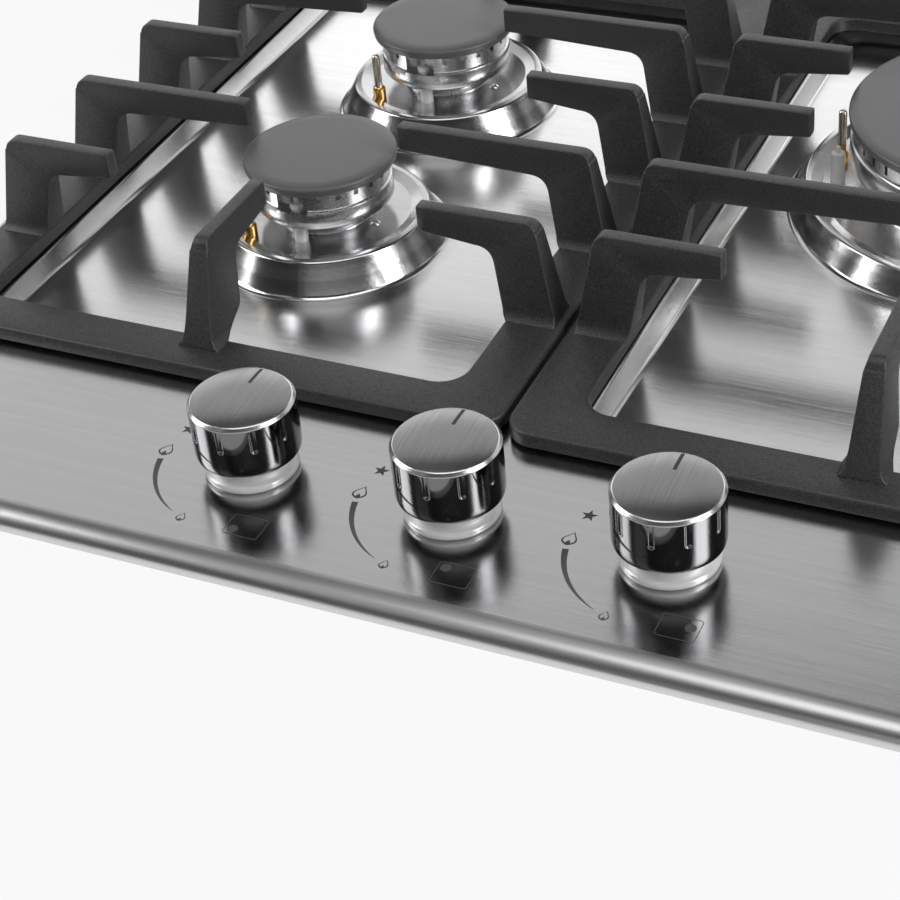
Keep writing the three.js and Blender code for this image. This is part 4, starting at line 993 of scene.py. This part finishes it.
# %% [markdown]
# Every finger dips into the frame, so each part is closed and turned outwards by itself before all of
# them become one mesh. The fingers over a small burner reach further in than the ones beside them, and
# the two over the wok burner stay short.

# %% Pan supports
FINGER_PITCH, END_TIP = 58.7, 76.2
TIP_GAPS = {"left": (74.5, 38.0, 74.5, 38.0, 74.5), "right": (74.5, 18.0, 74.5, 74.5, 18.0)}


def closed_part(verts, faces):
    """One closed part with its doubled points welded and its faces turned outwards."""
    work = bmesh.new()
    made = [work.verts.new(v) for v in verts]
    for face in faces:
        if len({tuple(np.round(verts[i], 8)) for i in face}) > 2:
            work.faces.new([made[i] for i in face])
    bmesh.ops.remove_doubles(work, verts=work.verts, dist=1e-6)
    bmesh.ops.recalc_face_normals(work, faces=work.faces)
    if work.calc_volume(signed=True) < 0:
        bmesh.ops.reverse_faces(work, faces=work.faces)
    work.verts.index_update()
    part = np.array([v.co for v in work.verts]), [tuple(v.index for v in f.verts) for f in work.faces]
    work.free()
    return part


def pan_support(name, side):
    """Frame, five fingers along each long side, and one at each end."""
    x, y = side * GRATE["centre"][0], GRATE["centre"][1]
    half_x, half_y = GRATE["half"]
    parts = [frame_surface(side)]
    for k, gap in enumerate(TIP_GAPS[name]):
        row, tip = y + (k - 2) * FINGER_PITCH, half_x - gap - TIP_ROWS[-1][0]
        parts.append(finger_surface(SIDE_LEG, tip, (x - half_x, row), 0))
        parts.append(finger_surface(SIDE_LEG, tip, (x + half_x, row), 180))
    parts.append(finger_surface(END_LEG, END_TIP, (x, y - half_y), 90))
    parts.append(finger_surface(END_LEG, END_TIP, (x, y + half_y), -90))
    verts, faces = together(*(closed_part(*part) for part in parts))
    piece = to_object(f"support_{name}", verts, faces, CAST, 40.0, False)
    return stands_for(piece, f"pan_support_{name}", f"pan_support_{name}_set")


for name, side in (("left", -1), ("right", 1)):
    made = pan_support(name, side)
    print("pan support", name, len(made.data.polygons), "faces")

# %% [markdown]
# The hob is shown as it is used: let into a plain white worktop, which hides its housing. The worktop
# glows a little, so that it stays white, and less so where something mirrors it.

# %% Worktop
WORKTOP_HALF, CUT_OUT_HALF, WORKTOP_TOP = 6.0, (0.282, 0.242), 0.0458
GLOW = {"most": 0.85, "camera": 1.12, "mirror": 0.6}  # 1.12 is clamped, so the camera gets the most


def worktop():
    """A square sheet with the cut-out for the housing: four strips round a rectangle."""
    signs = np.array([(-1, -1), (1, -1), (1, 1), (-1, 1)])
    points = np.vstack([signs * WORKTOP_HALF, signs * CUT_OUT_HALF])
    faces = [(i, (i + 1) % 4, (i + 1) % 4 + 4, i + 4) for i in range(4)]
    mesh = bpy.data.meshes.new("worktop")
    mesh.from_pydata(at_level(points, WORKTOP_TOP).tolist(), [], faces)
    top = bpy.data.objects.new("worktop", mesh)
    bpy.context.scene.collection.objects.link(top)
    finish = Finish("white_worktop", Base_Color=(0.86, 0.86, 0.86, 1), Roughness=0.6)
    rays = finish.node("LightPath")
    camera_ray, mirror_ray = finish.out(rays, "Is Camera Ray"), finish.out(rays, "Is Glossy Ray")
    seen = (camera_ray * GLOW["camera"] + mirror_ray * GLOW["mirror"]).clamp()
    glow = finish.out(finish.node("Emission", Color=(1, 1, 1, 1), Strength=1.0))
    own = finish.out(finish.shader)
    blend = finish.node("MixShader", _0=seen * GLOW["most"], _1=own, _2=glow)
    surface = finish.tree.nodes["Material Output"].inputs["Surface"]
    finish.tree.links.new(blend.outputs[0], surface)
    mesh.materials.append(finish.material)
    return mesh


print("worktop faces:", len(worktop().polygons))

# %% [markdown]
# The studio has a large soft box overhead and a dim one high on the left. Behind the hob is a pale
# backdrop in three parts. A bright narrow box on each side makes the light streaks on knobs and cones,
# and two dim strips in front open up the cones. The room is dark, and the knob walls, painted dark
# grey as well, mirror it.

# %% Lights
LAMPS = {  # azimuth, lower edge, upper edge, width (all in degrees), brightness, distance in metres
    "overhead": (24, 60, 84, 46, 1.8, 1.8),
    "left_high": (-88, 66, 88, 40, 0.5, 1.8),
    "backdrop_high": (202, 30, 51, 84, 0.66, 2.3),
    "backdrop_low": (202, 3, 30, 84, 1.3, 2.3),
    "backdrop_right": (140, 3, 32, 40, 0.65, 2.3),
    "left_box": (-71, 12, 46, 22, 4.6, 2.3),
    "right_box": (80, 10, 46, 22, 6.2, 2.3),
    "front_low": (27, 10, 30, 60, 0.52, 2.3),
    "front_left": (-32, 36, 52, 18, 0.3, 2.3)}
ROOM = (0.03, 0.03, 0.03, 1)


def softbox(name, azimuth, low, high, width, brightness, distance):
    """A rectangular lamp seen from the hob between two elevations; azimuth is counted from the front
    (-Y) towards +X, width is its full angle, and a perfect mirror shows it at its brightness."""
    middle, half = math.radians((low + high) / 2), math.radians((high - low) / 2)
    t = math.radians(azimuth)
    away = Vector((math.sin(t) * math.cos(middle), -math.cos(t) * math.cos(middle), math.sin(middle)))
    light = bpy.data.lights.new(name, "AREA")
    light.shape = "RECTANGLE"
    light.size = 2 * distance * math.tan(math.radians(width / 2))
    light.size_y = 2 * distance * math.tan(half)
    light.energy = brightness * math.pi * light.size * light.size_y
    holder = bpy.data.objects.new(name, light)
    holder.location = Vector((0, 0, TOP)) + away * distance
    holder.rotation_euler = (-away).to_track_quat("-Z", "Y").to_euler()
    bpy.context.scene.collection.objects.link(holder)


for name, values in LAMPS.items():
    softbox(name, *values)
world = bpy.data.worlds.new("room")
world.use_nodes = True
background = world.node_tree.nodes["Background"].inputs
background["Color"].default_value, background["Strength"].default_value = ROOM, 1.0
bpy.context.scene.world = world
bpy.context.scene.view_settings.view_transform = "Standard"
print("lamps:", ", ".join(LAMPS))

# %% [markdown]
